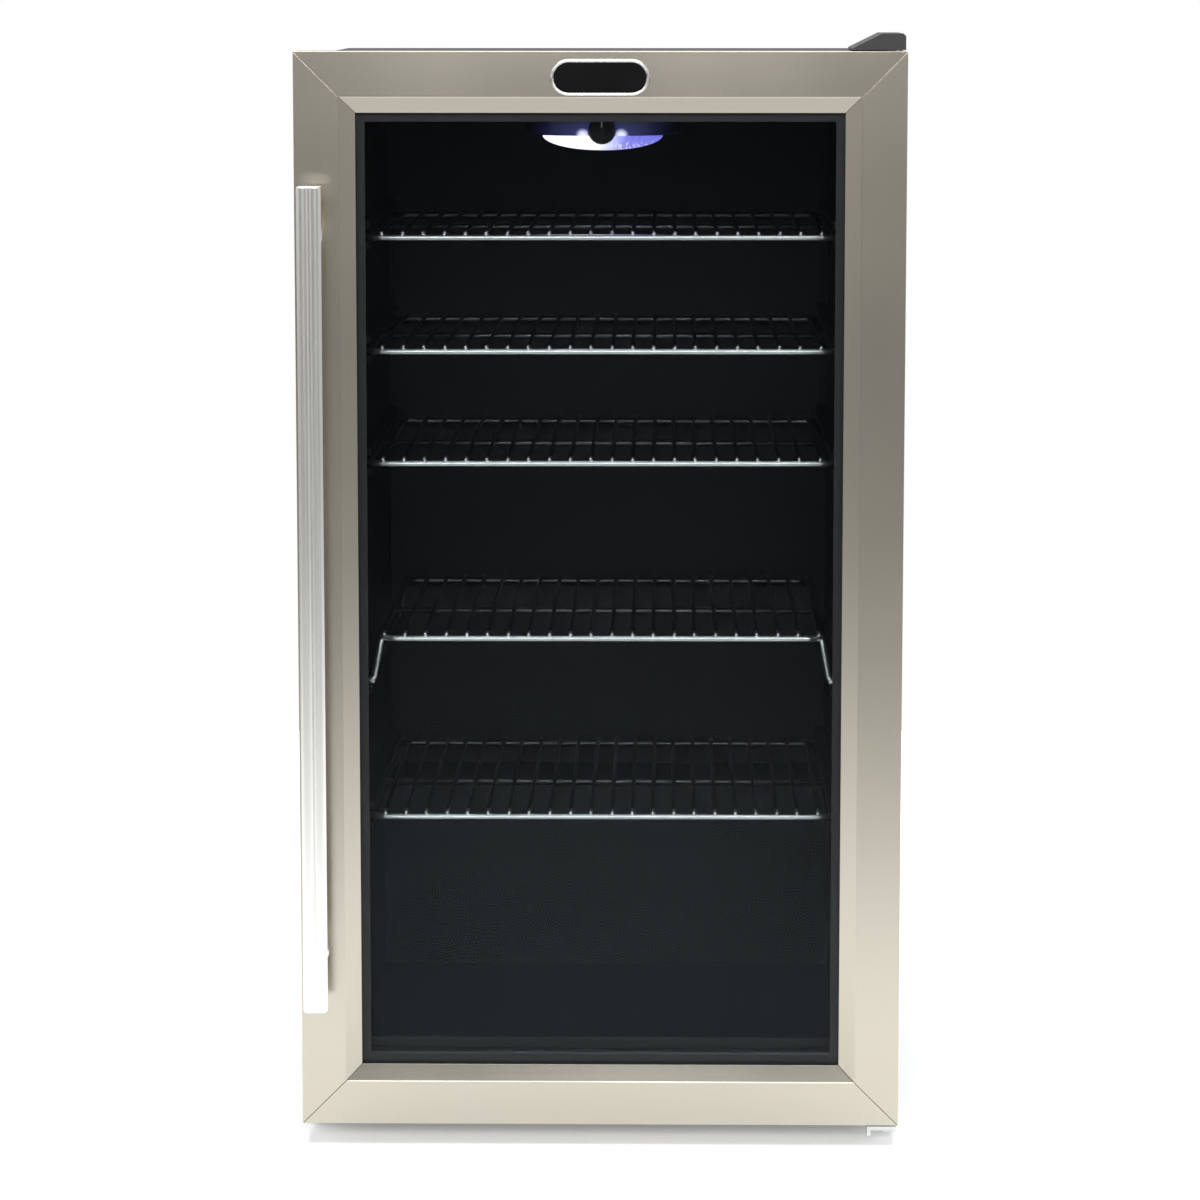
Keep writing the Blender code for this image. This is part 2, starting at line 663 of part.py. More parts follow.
def lower_hinge():
    plate_top = BASE_CLEARANCE - GAP
    plate_low = plate_top - HINGE_PLATE
    right = HALF - 0.001
    left = right - LOWER_PLATE_WIDTH
    front, back = DOOR_FRONT + LOWER_PLATE_FROM_FACE, CABINET_FRONT + LOWER_PLATE_REACH
    bracket = add(
        "lower_hinge_bracket",
        box_mesh(((left, front, plate_low), (right, back, plate_top))),
        "plated_steel",
    )
    ear_back = front + EAR_LENGTH
    join(
        bracket,
        box_mesh(
            ((left, front, plate_low - EAR_DROPS[0]), (left + EAR_SHEET, ear_back, plate_top)),
            ((right - EAR_SHEET, front, plate_low - EAR_DROPS[1]), (right, ear_back, plate_top)),
        ),
    )
    cut(bracket, cylinder_mesh((HINGE_X, HINGE_Y, 0), PIN_RADIUS + GAP, 0.02))
    head_radius, head_height, head_drop = PIN_HEAD
    pin = add(
        "lower_hinge_pin",
        cylinder_mesh((HINGE_X, HINGE_Y, plate_low - head_drop), head_radius, head_height, segments=6),
        "plated_steel",
    )
    pin_top = DOOR_BOTTOM + PIN_IN_DOOR
    shank = cylinder_mesh((HINGE_X, HINGE_Y, plate_low - 0.002), PIN_RADIUS, pin_top - plate_low + 0.002)
    collar = cylinder_mesh((HINGE_X, HINGE_Y, plate_top + GAP), *PIN_COLLAR)
    join(pin, shank, collar)


# ---- feet ------------------------------------------------------------------------------------------
def feet():
    across, ahead = HALF - FOOT_INSET, CABINET_FRONT + FOOT_FROM_FRONT
    behind = CABINET_BACK - FOOT_FROM_BACK
    pad = [(0, STUD_TOP), (STUD_RADIUS, STUD_TOP - 0.001), (STUD_RADIUS, FOOT_HEIGHT)]
    pad += [(FOOT_RADIUS - 0.004, FOOT_HEIGHT), (FOOT_RADIUS, FOOT_HEIGHT - 0.003)]
    pad += [(FOOT_RADIUS, 0.001), (FOOT_RADIUS - 0.001, 0), (0, 0)]
    top = BASE_CLEARANCE - GAP
    rear = [(0, top), (0.012, top), (0.0145, 0.001), (0.0135, 0), (0, 0)]
    for side, word in ((-1, "left"), (1, "right")):
        screw = pivot(f"foot_screw_{word}", (side * across, ahead, 0))
        turned(f"levelling_foot_{word}", pad, screw.location, "rubber", screw, steps=24)
        turned(f"rear_foot_{word}", rear, (side * across, behind, 0), "rubber", steps=20)


# ---- cold-circuit pieces ---------------------------------------------------------------------------
def machine_bay():
    centre = Vector((COMPRESSOR_X, COMPRESSOR_Y, MOUNT_BOTTOM))
    foot, height, wide = MOUNT_PLATE, COMPRESSOR_HEIGHT, COMPRESSOR_RADIUS
    seam, dome = foot + 0.62 * height, 0.40
    can = [(0, foot + height)]
    can += [(wide * math.sin(a), seam + 0.004 + (height - seam) * math.cos(a)) for a in (0.45, 0.85, 1.2)]
    can += [(wide * 0.97, seam + 0.004), (wide, seam + 0.002), (wide, seam - 0.002)]
    can += [(wide * 0.96, seam - 0.004), (wide * 0.94, foot + 0.020)]
    can += [(wide * 0.80, foot + 0.006), (wide * dome, 0.0005), (0, 0.0005)]
    compressor = turned(
        "compressor", can, centre, "black_steel", steps=24, stretch=COMPRESSOR_STRETCH
    )
    half_long, half_wide = MOUNT_LENGTH / 2, MOUNT_WIDTH / 2
    x, y, z = centre
    join(
        compressor,
        box_mesh(((x - half_long, y - half_wide, z), (x + half_long, y + half_wide, z + foot))),
    )
    ends = [(i, j) for i in (-1, 1) for j in (-1, 1)]
    for number, (i, j) in enumerate(ends):
        spot = (x + i * (half_long - 0.010), y + j * (half_wide - 0.010))
        rubber = [(0, GROMMET_HEIGHT), (GROMMET_RADIUS, GROMMET_HEIGHT), (GROMMET_RADIUS * 0.75, 0.008)]
        rubber += [(GROMMET_RADIUS * 0.75, 0.004), (GROMMET_RADIUS, 0), (0, 0)]
        turned(f"compressor_grommet_{number + 1}", rubber, (*spot, PAN_TOP + GAP), "rubber", steps=16)

    side = x - COMPRESSOR_RADIUS * COMPRESSOR_STRETCH - 0.001
    half = RELAY_WIDTH / 2
    case = rounded(side - RELAY_DEPTH, side, y - half, y + half, 0.004, 3)
    add("relay_box", extrusion_mesh([case], "Z", RELAY_BOTTOM, RELAY_TOP), "black_plastic")

    tray_low = MOUNT_BOTTOM + foot + height + 0.002
    long, wide = TRAY_LENGTH / 2, TRAY_WIDTH / 2
    tray = add(
        "drip_tray",
        extrusion_mesh(
            [rounded(x - long, x + long, y - wide, y + wide, 0.010, 3)], "Z", tray_low,
            tray_low + TRAY_HEIGHT,
        ),
        "black_plastic",
    )
    wall = TRAY_WALL
    hollow = rounded(x - long + wall, x + long - wall, y - wide + wall, y + wide - wall, 0.008, 3)
    cut(tray, extrusion_mesh([hollow], "Z", tray_low + wall, tray_low + 0.03))
    drain_low = tray_low + TRAY_HEIGHT + 0.002
    drain_top = HUMP_TOP - LINER_SHEET - GAP
    drain = add(
        "drain_tube",
        cylinder_mesh((x, DRAIN_Y, drain_low), DRAIN_RADIUS, drain_top - drain_low, segments=16),
        "white_nylon",
    )
    cut(drain, cylinder_mesh((x, DRAIN_Y, drain_low - 0.01), DRAIN_BORE, 0.08, segments=16))

    drier = (DRIER_X, CABINET_BACK - DRIER_FROM_BACK, DRIER_BOTTOM)
    round_end = [(0.0026, DRIER_LENGTH), (DRIER_RADIUS, DRIER_LENGTH - 0.014), (DRIER_RADIUS, 0.014)]
    capsule = [(0, DRIER_LENGTH)] + round_end + [(0.0026, 0), (0, 0)]
    turned("filter_drier", capsule, drier, "copper", steps=16)

    stub = (x + COMPRESSOR_RADIUS * COMPRESSOR_STRETCH + 0.0012, y - 0.006, 0.080)
    roof = BAY_TOP - PANEL_SHEET - GAP
    suction = bent([stub, (stub[0] + 0.026, stub[1], stub[2]), (stub[0] + 0.026, stub[1], roof)], 0.014)
    tube("suction_pipe", suction, PIPE_RADIUS, "copper", sides=2)

    clamp_y = CABINET_BACK - CLAMP_FROM_BACK
    half, rise = CLAMP_WIDTH / 2, PAN_TOP + CLAMP_HEIGHT
    block = rounded(CLAMP_X - half, CLAMP_X + half, PAN_TOP + GAP, rise, 0.004, 3)
    clamp = add(
        "cord_clamp",
        extrusion_mesh([block], "Y", clamp_y, clamp_y + CLAMP_LENGTH),
        "black_plastic",
    )
    cut(clamp, cylinder_mesh((CLAMP_X, clamp_y - 0.01, PAN_TOP + 0.008), CORD_RADIUS, 0.04, "Y", 12))


def condenser():
    """One tube in level rows up the back, its two ends brought down to the machine bay."""
    low, high = BAY_TOP + COIL_FOOT, UNDER_TOP - COIL_HEADROOM
    pitch = (high - low) / (COIL_ROWS - 1)
    half, radius = SHELL_HALF - COIL_SIDE, pitch / 2
    end_z = BAY_TOP + 0.012
    route = [(half, COIL_Y, end_z)]
    for row in range(COIL_ROWS):
        side = 1 if row % 2 == 0 else -1
        height = low + row * pitch
        if row == 0:
            route += [(half, COIL_Y, height - 0.010), (half - 0.010, COIL_Y, height)]
        if row < COIL_ROWS - 1:
            centre = -side * (half - radius)
            turn = arc((centre, height + radius), radius, -90, 90, 6)
            route += [(centre - side * (px - centre), COIL_Y, pz) for px, pz in turn]
    left = -half - 0.014
    route += [(left + 0.010, COIL_Y, high), (left, COIL_Y, high - 0.010), (left, COIL_Y, end_z)]
    tube("condenser_coil", route, COIL_TUBE, "black_steel")

    sheet, reach = BRACKET_SHEET, COIL_Y - COIL_TUBE - GAP
    foot = CABINET_BACK + GAP
    web, flange = BRACKET_WEB_HALF, BRACKET_FLANGE_HALF
    for side, word in ((-1, "left"), (1, "right")):
        middle = side * (half - BRACKET_INSET)
        channel = [
            (middle - flange, foot),
            (middle - web, foot),
            (middle - web, reach - sheet),
            (middle + web, reach - sheet),
            (middle + web, foot),
            (middle + flange, foot),
            (middle + flange, foot + sheet),
            (middle + web + sheet, foot + sheet),
            (middle + web + sheet, reach),
            (middle - web - sheet, reach),
            (middle - web - sheet, foot + sheet),
            (middle - flange, foot + sheet),
        ]
        add(
            f"condenser_bracket_{word}",
            extrusion_mesh([channel], "Z", low - BRACKET_OVER, high + BRACKET_OVER),
            "black_steel",
        )


# ---- lamp, thermostat and light switch under the ceiling --------------------------------------------
def lamp():
    top, bottom = CEILING - GAP, CEILING - GAP - LAMP_HEIGHT
    squash = LAMP_DEPTH / LAMP_WIDTH
    wide = LAMP_WIDTH / 2
    middle = (0.0, LAMP_Y)
    housing = add(
        "lamp_housing",
        cylinder_mesh((*middle, bottom), wide * 0.88, LAMP_HEIGHT, "Z", 32, wide, squash),
        "black_plastic",
    )
    front = LAMP_Y - LAMP_DEPTH / 2
    stem = cylinder_mesh((0.0, front - 0.002, CEILING - KNOB_DROP), KNOB_STEM, 0.012, "Y", 16)
    join(housing, stem)
    hollow = (LENS_WIDTH / 2 - LENS_LAP, LENS_DEPTH / LENS_WIDTH)
    cut(
        housing,
        cylinder_mesh((*middle, bottom - 0.01), hollow[0], LAMP_HEIGHT + 0.006, "Z", 32, None, hollow[1]),
    )
    board_z = bottom + BOARD_HEIGHT
    board = add(
        "lamp_board",
        cylinder_mesh((*middle, board_z), hollow[0] - LENS_LAP, BOARD_SHEET, "Z", 24, None, hollow[1]),
        "circuit_board",
    )
    wide, long, drop, sunk = LIGHT_CHIP
    lights = []
    for i in range(-2, 3):
        x = i * LIGHT_PITCH
        under = (x - wide / 2, LAMP_Y - long / 2, board_z - drop)
        over = (x + wide / 2, LAMP_Y + long / 2, board_z + sunk)
        lights.append((under, over))
    join(board, box_mesh(*lights))

    bm = bmesh.new()
    bmesh.ops.create_uvsphere(bm, u_segments=28, v_segments=10, radius=1.0)
    upper = [v for v in bm.verts if v.co.z > 0.001]
    bmesh.ops.delete(bm, geom=upper, context="VERTS")
    size = Matrix.Diagonal((LENS_WIDTH / 2, LENS_DEPTH / 2, LENS_DROP, 1))
    bm.transform(Matrix.Translation((*middle, bottom - GAP)) @ size)
    lens = add("lamp_lens", mesh_of(bm), "lens_plastic")
    shell = lens.modifiers.new("Wall", "SOLIDIFY")
    shell.thickness = LENS_WALL
    shell.offset = -1.0

    knob_back = front - 0.002 - GAP
    turn = pivot("thermostat_axis", (0.0, knob_back, CEILING - KNOB_DROP))
    grip = []
    ribs = 12
    for i in range(ribs * 4):
        reach = KNOB_RADIUS - (0.0006 if i % 4 in (1, 2) else 0.0)
        angle = 2 * math.pi * i / (ribs * 4)
        grip.append((turn.location.x + reach * math.cos(angle), turn.location.z + reach * math.sin(angle)))
    knob = add(
        "thermostat_knob",
        extrusion_mesh([grip], "Y", knob_back - 0.6 * KNOB_LENGTH, knob_back),
        "black_plastic",
        turn,
    )
    x, z = turn.location.x, turn.location.z
    join(
        knob,
        box_mesh(
            (
                (x - 0.0018, knob_back - KNOB_LENGTH, z - 0.8 * KNOB_RADIUS),
                (x + 0.0018, knob_back - 0.4 * KNOB_LENGTH, z + 0.8 * KNOB_RADIUS),
            )
        ),
    )


def light_switch():
    x, y = SWITCH_OFFSET, LAMP_Y
    long, wide, rim = SWITCH_LENGTH / 2, SWITCH_WIDTH / 2, SWITCH_RIM
    outer = rounded(x - long, x + long, y - wide, y + wide, 0.002, 3)
    inner = rectangle(x - long + rim, x + long - rim, y - wide + rim, y + wide - rim)
    top = CEILING - GAP
    add(
        "switch_bezel",
        extrusion_mesh([outer, inner], "Z", top - SWITCH_HEIGHT, top),
        "black_plastic",
    )
    axis_z = top - 0.5 * SWITCH_HEIGHT
    rocker = pivot("switch_axis", (x, y, axis_z))
    long, wide = long - rim - SWITCH_PLAY, wide - rim - SWITCH_PLAY
    side = [
        (x - 0.6 * long, axis_z + 0.0012),
        (x - long, axis_z - 0.0006),
        (x - long, axis_z - 0.0030),
        (x, axis_z - 0.0022),
        (x + long, axis_z - 0.0030),
        (x + long, axis_z - 0.0006),
        (x + 0.6 * long, axis_z + 0.0012),
    ]
    add("light_switch", extrusion_mesh([side], "Y", y - wide, y + wide), "black_plastic", rocker)


# ---- shelves ---------------------------------------------------------------------------------------
def grille(name, half, height, body):
    """A frame of square rail with a middle rail, and wires laid front to back over them."""
    back = SHELF_BACK
    frame = rounded(-half, half, SHELF_FACE, back, 2 * RAIL, 4)
    hole = rounded(-half + RAIL, half - RAIL, SHELF_FACE + RAIL, back - RAIL, RAIL, 3)
    low, high = height - RAIL / 2, height + RAIL / 2
    shelf = add(name, extrusion_mesh([frame, hole], "Z", low, high), "shelf_chrome", body)
    rail_y = SHELF_FACE + MIDDLE_RAIL * (SHELF_BACK - SHELF_FACE)
    end, level = half - RAIL / 2, (low + RAIL / 4, high - WIRE_SINK / 2)
    join(
        shelf,
        box_mesh(((-end, rail_y, level[0]), (end, rail_y + RAIL, level[1]))),
        deck_wires(half, SHELF_FACE + 0.001, back - 0.001, high - WIRE_SINK),
    )


def deck_wires(half, front, back, bottom):
    """As many wires at their pitch as the frame has room for, set evenly about its middle."""
    count = 2 * int((half - SHELF_WIRE) / WIRE_PITCH + 0.5)
    wires = []
    for i in range(count):
        x = WIRE_PITCH * (i - (count - 1) / 2)
        wires.append(((x - SHELF_WIRE / 2, front, bottom), (x + SHELF_WIRE / 2, back, bottom + SHELF_WIRE)))
    return box_mesh(*wires)


def deck_runner(name, side, height, body):
    """A runner on its ledge, with a sloping leg at each end up to the deck."""
    half, back = SHELF_HALF, SHELF_BACK
    low, high = height - RAIL / 2, height + RAIL / 2
    deck, under = half - DECK_INSET, low + DECK_RISE - GAP
    slope = [(half, low), (half, high), (deck, under), (deck - RAIL, under), (half - 1.4 * RAIL, low)]
    leg = [(side * x, z) for x, z in slope]
    runner = add(
        name, extrusion_mesh([leg], "Y", SHELF_FACE, SHELF_FACE + RAIL), "shelf_chrome", body
    )
    left, right = sorted((side * (half - RAIL), side * half))
    bar = ((left, SHELF_FACE + 0.002, low + 0.0004), (right, back - 0.002, high - 0.0004))
    join(runner, extrusion_mesh([leg], "Y", back - RAIL, back), box_mesh(bar))


def shelves():
    for number, height in enumerate(SHELF_HEIGHTS, 1):
        name = f"shelf_{number}"
        body = pivot(f"{name}_slide", (0, SHELF_FACE, height))
        if number == RAISED_SHELF:
            grille(name, SHELF_HALF - DECK_INSET, height + DECK_RISE, body)
            deck_runner(f"{name}_runner_left", -1, height, body)
            deck_runner(f"{name}_runner_right", 1, height, body)
        else:
            grille(name, SHELF_HALF, height, body)


# ---- door ------------------------------------------------------------------------------------------
def trim_section():
    """Steel strip in (distance in from the door's edge, distance back from its face)."""
    sheet, inner = TRIM_SHEET, TRIM_WIDTH
    return [
        (0, TRIM_RETURN),
        (0, 0),
        (TRIM_FACE, 0),
        (inner, TRIM_DROP),
        (inner, TRIM_DROP + sheet),
        (TRIM_FACE - 0.0003, sheet),
        (sheet, sheet),
        (sheet, TRIM_RETURN),
    ]


def trim_mesh(length):
    """One member lying along X with its outer edge up, its ends mitred to meet the next."""
    half = length / 2
    outline = [(DOOR_FRONT + back, -inward) for inward, back in trim_section()]
    mesh = extrusion_mesh([outline], "X", -half, half)
    for vertex in mesh.vertices:
        end = 1 if vertex.co.x > 0 else -1
        vertex.co.x = end * (half + vertex.co.z - GAP / 2)
    return mesh


def trims(door):
    middle = (DOOR_BOTTOM + DOOR_TOP) / 2
    places = (
        ("trim_top", WIDTH, 0, DOOR_HEIGHT / 2),
        ("trim_bottom", WIDTH, 180, DOOR_HEIGHT / 2),
        ("trim_left", DOOR_HEIGHT, -90, WIDTH / 2),
        ("trim_right", DOOR_HEIGHT, 90, WIDTH / 2),
    )
    for name, length, angle, out in places:
        mesh = trim_mesh(length)
        mesh.transform(Matrix.Translation((0, 0, out)))
        mesh.transform(Matrix.Rotation(math.radians(angle), 4, "Y"))
        mesh.transform(Matrix.Translation((0, 0, middle)))
        node = add(name, mesh, "brushed_steel", door)
        if name in ("trim_top", "trim_bottom"):
            hole = BUSH_RADIUS + 0.0006
            cut(node, cylinder_mesh((HINGE_X, HINGE_Y, 0 if angle else DOOR_TOP - 0.01), hole, 0.03))


def ring(half, bottom, top, width):
    """An upright frame's outer and inner outlines in X, Z."""
    return [
        rectangle(-half, half, bottom, top),
        rectangle(-half + width, half - width, bottom + width, top - width),
    ]


def glazing(door):
    half, low, high = OPENING_HALF + GLASS_LAP, OPENING_BOTTOM - GLASS_LAP, OPENING_TOP + GLASS_LAP
    for name, front, finish in (
        ("outer_glass", OUTER_GLASS, "tinted_glass"),
        ("inner_glass", INNER_GLASS, "clear_glass"),
    ):
        pane = box_mesh(((-half, front, low), (half, front + GLASS_THICKNESS, high)))
        add(name, pane, finish, door)
    spacer = ring(half, low, high, SPACER_WIDTH + GLASS_LAP)
    add(
        "glass_spacer",
        extrusion_mesh(spacer, "Y", SPACER_FRONT, SPACER_FRONT + PANE_GAP),
        "aluminium",
        door,
    )


def door_frame(door):
    edge = TRIM_SHEET + GAP
    half, low, high = HALF - edge, DOOR_BOTTOM + edge, DOOR_TOP - edge
    lip = OPENING_HALF - LIP_INSET
    node = add(
        "door_frame",
        extrusion_mesh([*ring(half, low, high, half - lip)], "Y", CORE_FRONT, DOOR_BACK),
        "door_plastic",
        door,
    )
    fit = GLASS_LAP + GAP
    pocket = (
        (-OPENING_HALF - fit, CORE_FRONT - 0.01, OPENING_BOTTOM - fit),
        (OPENING_HALF + fit, POCKET_BACK, OPENING_TOP + fit),
    )
    bore = BUSH_RADIUS + GAP
    cut(
        node,
        box_mesh(pocket),
        cylinder_mesh((HINGE_X, HINGE_Y, high - BUSH_LENGTH - GAP), bore, 0.04),
        cylinder_mesh((HINGE_X, HINGE_Y, low + BUSH_LENGTH + GAP - 0.04), bore, 0.04),
    )
    hollow = PIN_RADIUS + RUN_CLEARANCE
    for name, base in (("hinge_bush_upper", high - BUSH_LENGTH), ("hinge_bush_lower", low)):
        bush = add(
            name, cylinder_mesh((HINGE_X, HINGE_Y, base), BUSH_RADIUS, BUSH_LENGTH), "white_nylon", door
        )
        cut(bush, cylinder_mesh((HINGE_X, HINGE_Y, base - 0.01), hollow, BUSH_LENGTH + 0.02))


def gasket(door):
    front, back = DOOR_BACK + GAP, CABINET_FRONT - 0.0005
    inset = GASKET_INSET
    outline = ring(HALF - inset, DOOR_BOTTOM + inset + 0.003, DOOR_TOP - inset - 0.003, GASKET_WIDTH)
    node = add("door_gasket", extrusion_mesh(outline, "Y", front, back), "gasket_rubber", door)
    side = inset + (GASKET_WIDTH - GASKET_GROOVE) / 2
    groove = ring(HALF - side, DOOR_BOTTOM + side + 0.003, DOOR_TOP - side - 0.003, GASKET_GROOVE)
    cut(node, extrusion_mesh(groove, "Y", back - 0.004, back + 0.01))


def handle(door):
    """A bar of two rounded ribs with a groove between them, on two round posts."""
    front = DOOR_FRONT - HANDLE_REACH
    rib = HANDLE_WIDTH / 4 - 0.0003
    outline = [(BAR_X + HANDLE_WIDTH / 2, BAR_BACK)]
    for side in (1, -1):
        outline += arc((BAR_X + side * HANDLE_WIDTH / 4, front + rib), rib, 0, -180, 8)
    outline += [(BAR_X - HANDLE_WIDTH / 2, BAR_BACK)]
    add("handle_bar", extrusion_mesh([outline], "Z", BAR_BOTTOM, BAR_TOP), "handle_steel", door)
    for word, height in (("lower", BAR_BOTTOM + POST_FROM_END), ("upper", BAR_TOP - POST_FROM_END)):
        post = cylinder_mesh(
            (BAR_X, BAR_BACK + GAP, height), POST_RADIUS, DOOR_FRONT - BAR_BACK - 2 * GAP, "Y"
        )
        add(f"handle_post_{word}", post, "handle_steel", door)


def badge(door):
    half, radius = BADGE_LENGTH / 2, BADGE_HEIGHT / 2 - 0.0001
    height = DOOR_TOP - BADGE_BELOW_TOP
    pill = rounded(-half, half, height - BADGE_HEIGHT / 2, height + BADGE_HEIGHT / 2, radius, 8)
    plate = extrusion_mesh([pill], "Y", DOOR_FRONT - BADGE_THICKNESS - GAP, DOOR_FRONT - GAP)
    add("badge_plate", plate, "badge_black", door)


CABINET = pivot("cabinet", (0, 0, 0))
cabinet_shell()
cabinet_body()
insulation()
liner()
top_hinge()
lower_hinge()
feet()
machine_bay()
condenser()
lamp()
light_switch()
shelves()
DOOR = pivot("door_hinge_axis", (HINGE_X, HINGE_Y, 0))
trims(DOOR)
glazing(DOOR)
door_frame(DOOR)
gasket(DOOR)
handle(DOOR)
badge(DOOR)
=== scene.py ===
"""Finishes for the glass-door wine cooler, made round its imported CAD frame.

Each piece is drawn at rest in the frame's own metres and rides on one CAD body.
"""

import json
import math

import bmesh
import bpy
from mathutils import Matrix, Vector

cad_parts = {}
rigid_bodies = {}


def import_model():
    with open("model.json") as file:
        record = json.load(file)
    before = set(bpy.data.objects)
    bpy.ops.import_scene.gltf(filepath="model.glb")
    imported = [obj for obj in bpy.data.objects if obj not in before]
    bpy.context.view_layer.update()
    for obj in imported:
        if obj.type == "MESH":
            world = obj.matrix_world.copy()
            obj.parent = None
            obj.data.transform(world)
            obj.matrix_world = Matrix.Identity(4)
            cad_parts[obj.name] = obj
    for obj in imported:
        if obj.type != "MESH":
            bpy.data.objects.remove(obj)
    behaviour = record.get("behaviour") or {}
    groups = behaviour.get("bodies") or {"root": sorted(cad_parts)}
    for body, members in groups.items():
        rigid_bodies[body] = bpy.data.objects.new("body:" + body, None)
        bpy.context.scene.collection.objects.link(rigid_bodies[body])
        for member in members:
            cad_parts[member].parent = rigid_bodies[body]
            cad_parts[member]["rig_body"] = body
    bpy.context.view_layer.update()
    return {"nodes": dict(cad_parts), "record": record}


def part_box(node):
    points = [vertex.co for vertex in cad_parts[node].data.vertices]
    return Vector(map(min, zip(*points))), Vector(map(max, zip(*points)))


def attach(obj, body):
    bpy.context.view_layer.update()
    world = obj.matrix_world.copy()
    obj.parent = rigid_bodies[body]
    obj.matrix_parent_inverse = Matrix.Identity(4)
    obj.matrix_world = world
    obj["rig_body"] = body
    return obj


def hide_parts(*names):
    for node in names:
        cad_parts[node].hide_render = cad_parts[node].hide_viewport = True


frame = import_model()
NODES = frame["nodes"]


# ---- shader arithmetic ---------------------------------------------------------------------------
class Value:
    """A shader output that takes Python's arithmetic, each step adding its Math node."""

    def __init__(self, graph, socket):
        self.graph = graph
        self.socket = socket

    def then(self, operation, *values):
        return self.graph.node("Math", {"operation": operation}, dict(enumerate(values)))

    def __add__(self, other):
        return self.then("ADD", self, other)

    __radd__ = __add__

    def __sub__(self, other):
        return self.then("SUBTRACT", self, other)

    def __rsub__(self, other):
        return self.then("SUBTRACT", other, self)

    def __mul__(self, other):
        return self.then("MULTIPLY", self, other)

    __rmul__ = __mul__

    def __pow__(self, other):
        return self.then("POWER", self, other)

    def __abs__(self):
        return self.then("ABSOLUTE", self)


class Graph:
    """The node tree of one finish or of the studio."""

    def __init__(self, tree):
        self.tree = tree
        tree.nodes.clear()

    def node(self, kind, settings=None, inputs=None, output=0):
        """Adds a node: its settings first, then the values or links of its sockets."""
        made = self.tree.nodes.new("ShaderNode" + kind)
        for name, value in (settings or {}).items():
            setattr(made, name, value)
        for name, value in (inputs or {}).items():
            if isinstance(value, Value):
                self.tree.links.new(value.socket, made.inputs[name])
            else:
                made.inputs[name].default_value = value
        return Value(self, made.outputs[output]) if made.outputs else made

    def place(self, stretch=(1, 1, 1)):
        """The piece's own metres, each axis multiplied, so that a small factor draws a grain out."""
        here = self.node("TexCoord", output="Object")
        return self.node("Mapping", inputs={"Vector": here, "Scale": stretch})

    def noise(self, scale, stretch=(1, 1, 1), detail=2.0):
        return self.node("TexNoise", inputs={"Vector": self.place(stretch), "Scale": scale, "Detail": detail})

    def parts(self, vector):
        """The vector's three numbers, each one a value."""
        split = self.node("SeparateXYZ", inputs={0: vector}).socket.node
        return [Value(self, output) for output in split.outputs]

    def mixed(self, factor, first, second):
        """Two colours, which are the Mix node's sockets 6 and 7."""
        return self.node("Mix", {"data_type": "RGBA"}, {0: factor, 6: first, 7: second}, output=2)

    def ease(self, value, low, high, bottom=0.0, top=1.0):
        """A soft step from bottom to top while the value goes from low to high."""
        limits = {"Value": value, 1: low, 2: high, 3: bottom, 4: top}
        return self.node("MapRange", {"interpolation_type": "SMOOTHSTEP"}, limits)

    def relief(self, height, distance, strength=1.0):
        sockets = {"Strength": strength, "Distance": distance, "Height": height}
        return self.node("Bump", inputs=sockets)


def grey(level):
    return level, level, level, 1.0


def finish(name, recipe, **fixed):
    """A Principled finish; the recipe gives what varies, and fixed values sit on its own sockets."""
    made = bpy.data.materials.new(name)
    made.use_nodes = True
    graph = Graph(made.node_tree)
    sockets = {key.replace("_", " "): value for key, value in fixed.items()}
    sockets.update(recipe(graph))
    graph.node("OutputMaterial", inputs={"Surface": graph.node("BsdfPrincipled", inputs=sockets)})
    return made


# ---- finishes ------------------------------------------------------------------------------------
STEEL = (0.500, 0.464, 0.408, 1.0)
STEEL_WARM = (0.520, 0.478, 0.404, 1.0)
ALONG = {"X": (9, 2400, 2400), "Z": (2400, 2400, 9)}  # grain drawn out along one axis
CLOUD = {"X": (7, 1.5, 1.5), "Z": (1.5, 1.5, 7)}  # soft tone that changes along the member
DOOR_LOW, DOOR_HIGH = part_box("trim_left")
DOOR_MIDDLE = (DOOR_LOW.z + DOOR_HIGH.z) / 2
RAIL_FACE = 0.033  # a rail's flat face, from the door's edge to the slope inside it
FACE_FROM = (DOOR_HIGH.z - DOOR_LOW.z) / 2 - RAIL_FACE  # up or down from the door's middle
SLOPE_SHADE = 0.34  # share of near-black painted into the rails' slopes as shade
SHELF_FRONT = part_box("shelf_1")[0].y
BOWL_LOW, BOWL_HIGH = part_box("lamp_housing")
LENS_LOW, LENS_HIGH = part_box("lamp_lens")


def brushed(axis):
    """Satin steel brushed along one axis, the level rails' slopes darkened with painted shade."""

    def recipe(graph):
        streaks = graph.noise(1.0, ALONG[axis], detail=3.0)
        cloud = graph.noise(1.0, CLOUD[axis])
        steel = graph.mixed(cloud * 0.8 + streaks * 0.2, STEEL, STEEL_WARM)
        from_middle = abs(graph.parts(graph.place())[2] - DOOR_MIDDLE)
        # painted shade: near-black mixed into the level rails' inner slopes
        slope = graph.ease(from_middle, FACE_FROM, FACE_FROM - 0.001, 0.0, SLOPE_SHADE)
        return {
            "Base Color": graph.mixed(slope if axis == "X" else 0.0, steel, grey(0.02)),
            "Roughness": 0.15 + 0.06 * streaks + 0.07 * cloud,
            "Normal": graph.relief(streaks, 0.00003, 0.20),
        }

    return finish(f"brushed_steel_{axis.lower()}", recipe, Metallic=1.0)


def handle_satin(graph):
    streaks = graph.noise(1.0, (1400, 1400, 7))
    return {
        "Base Color": graph.mixed(streaks, (0.82, 0.81, 0.79, 1), (0.90, 0.89, 0.87, 1)),
        "Roughness": 0.20 + 0.08 * streaks,
        "Normal": graph.relief(streaks, 0.00003, 0.3),
    }


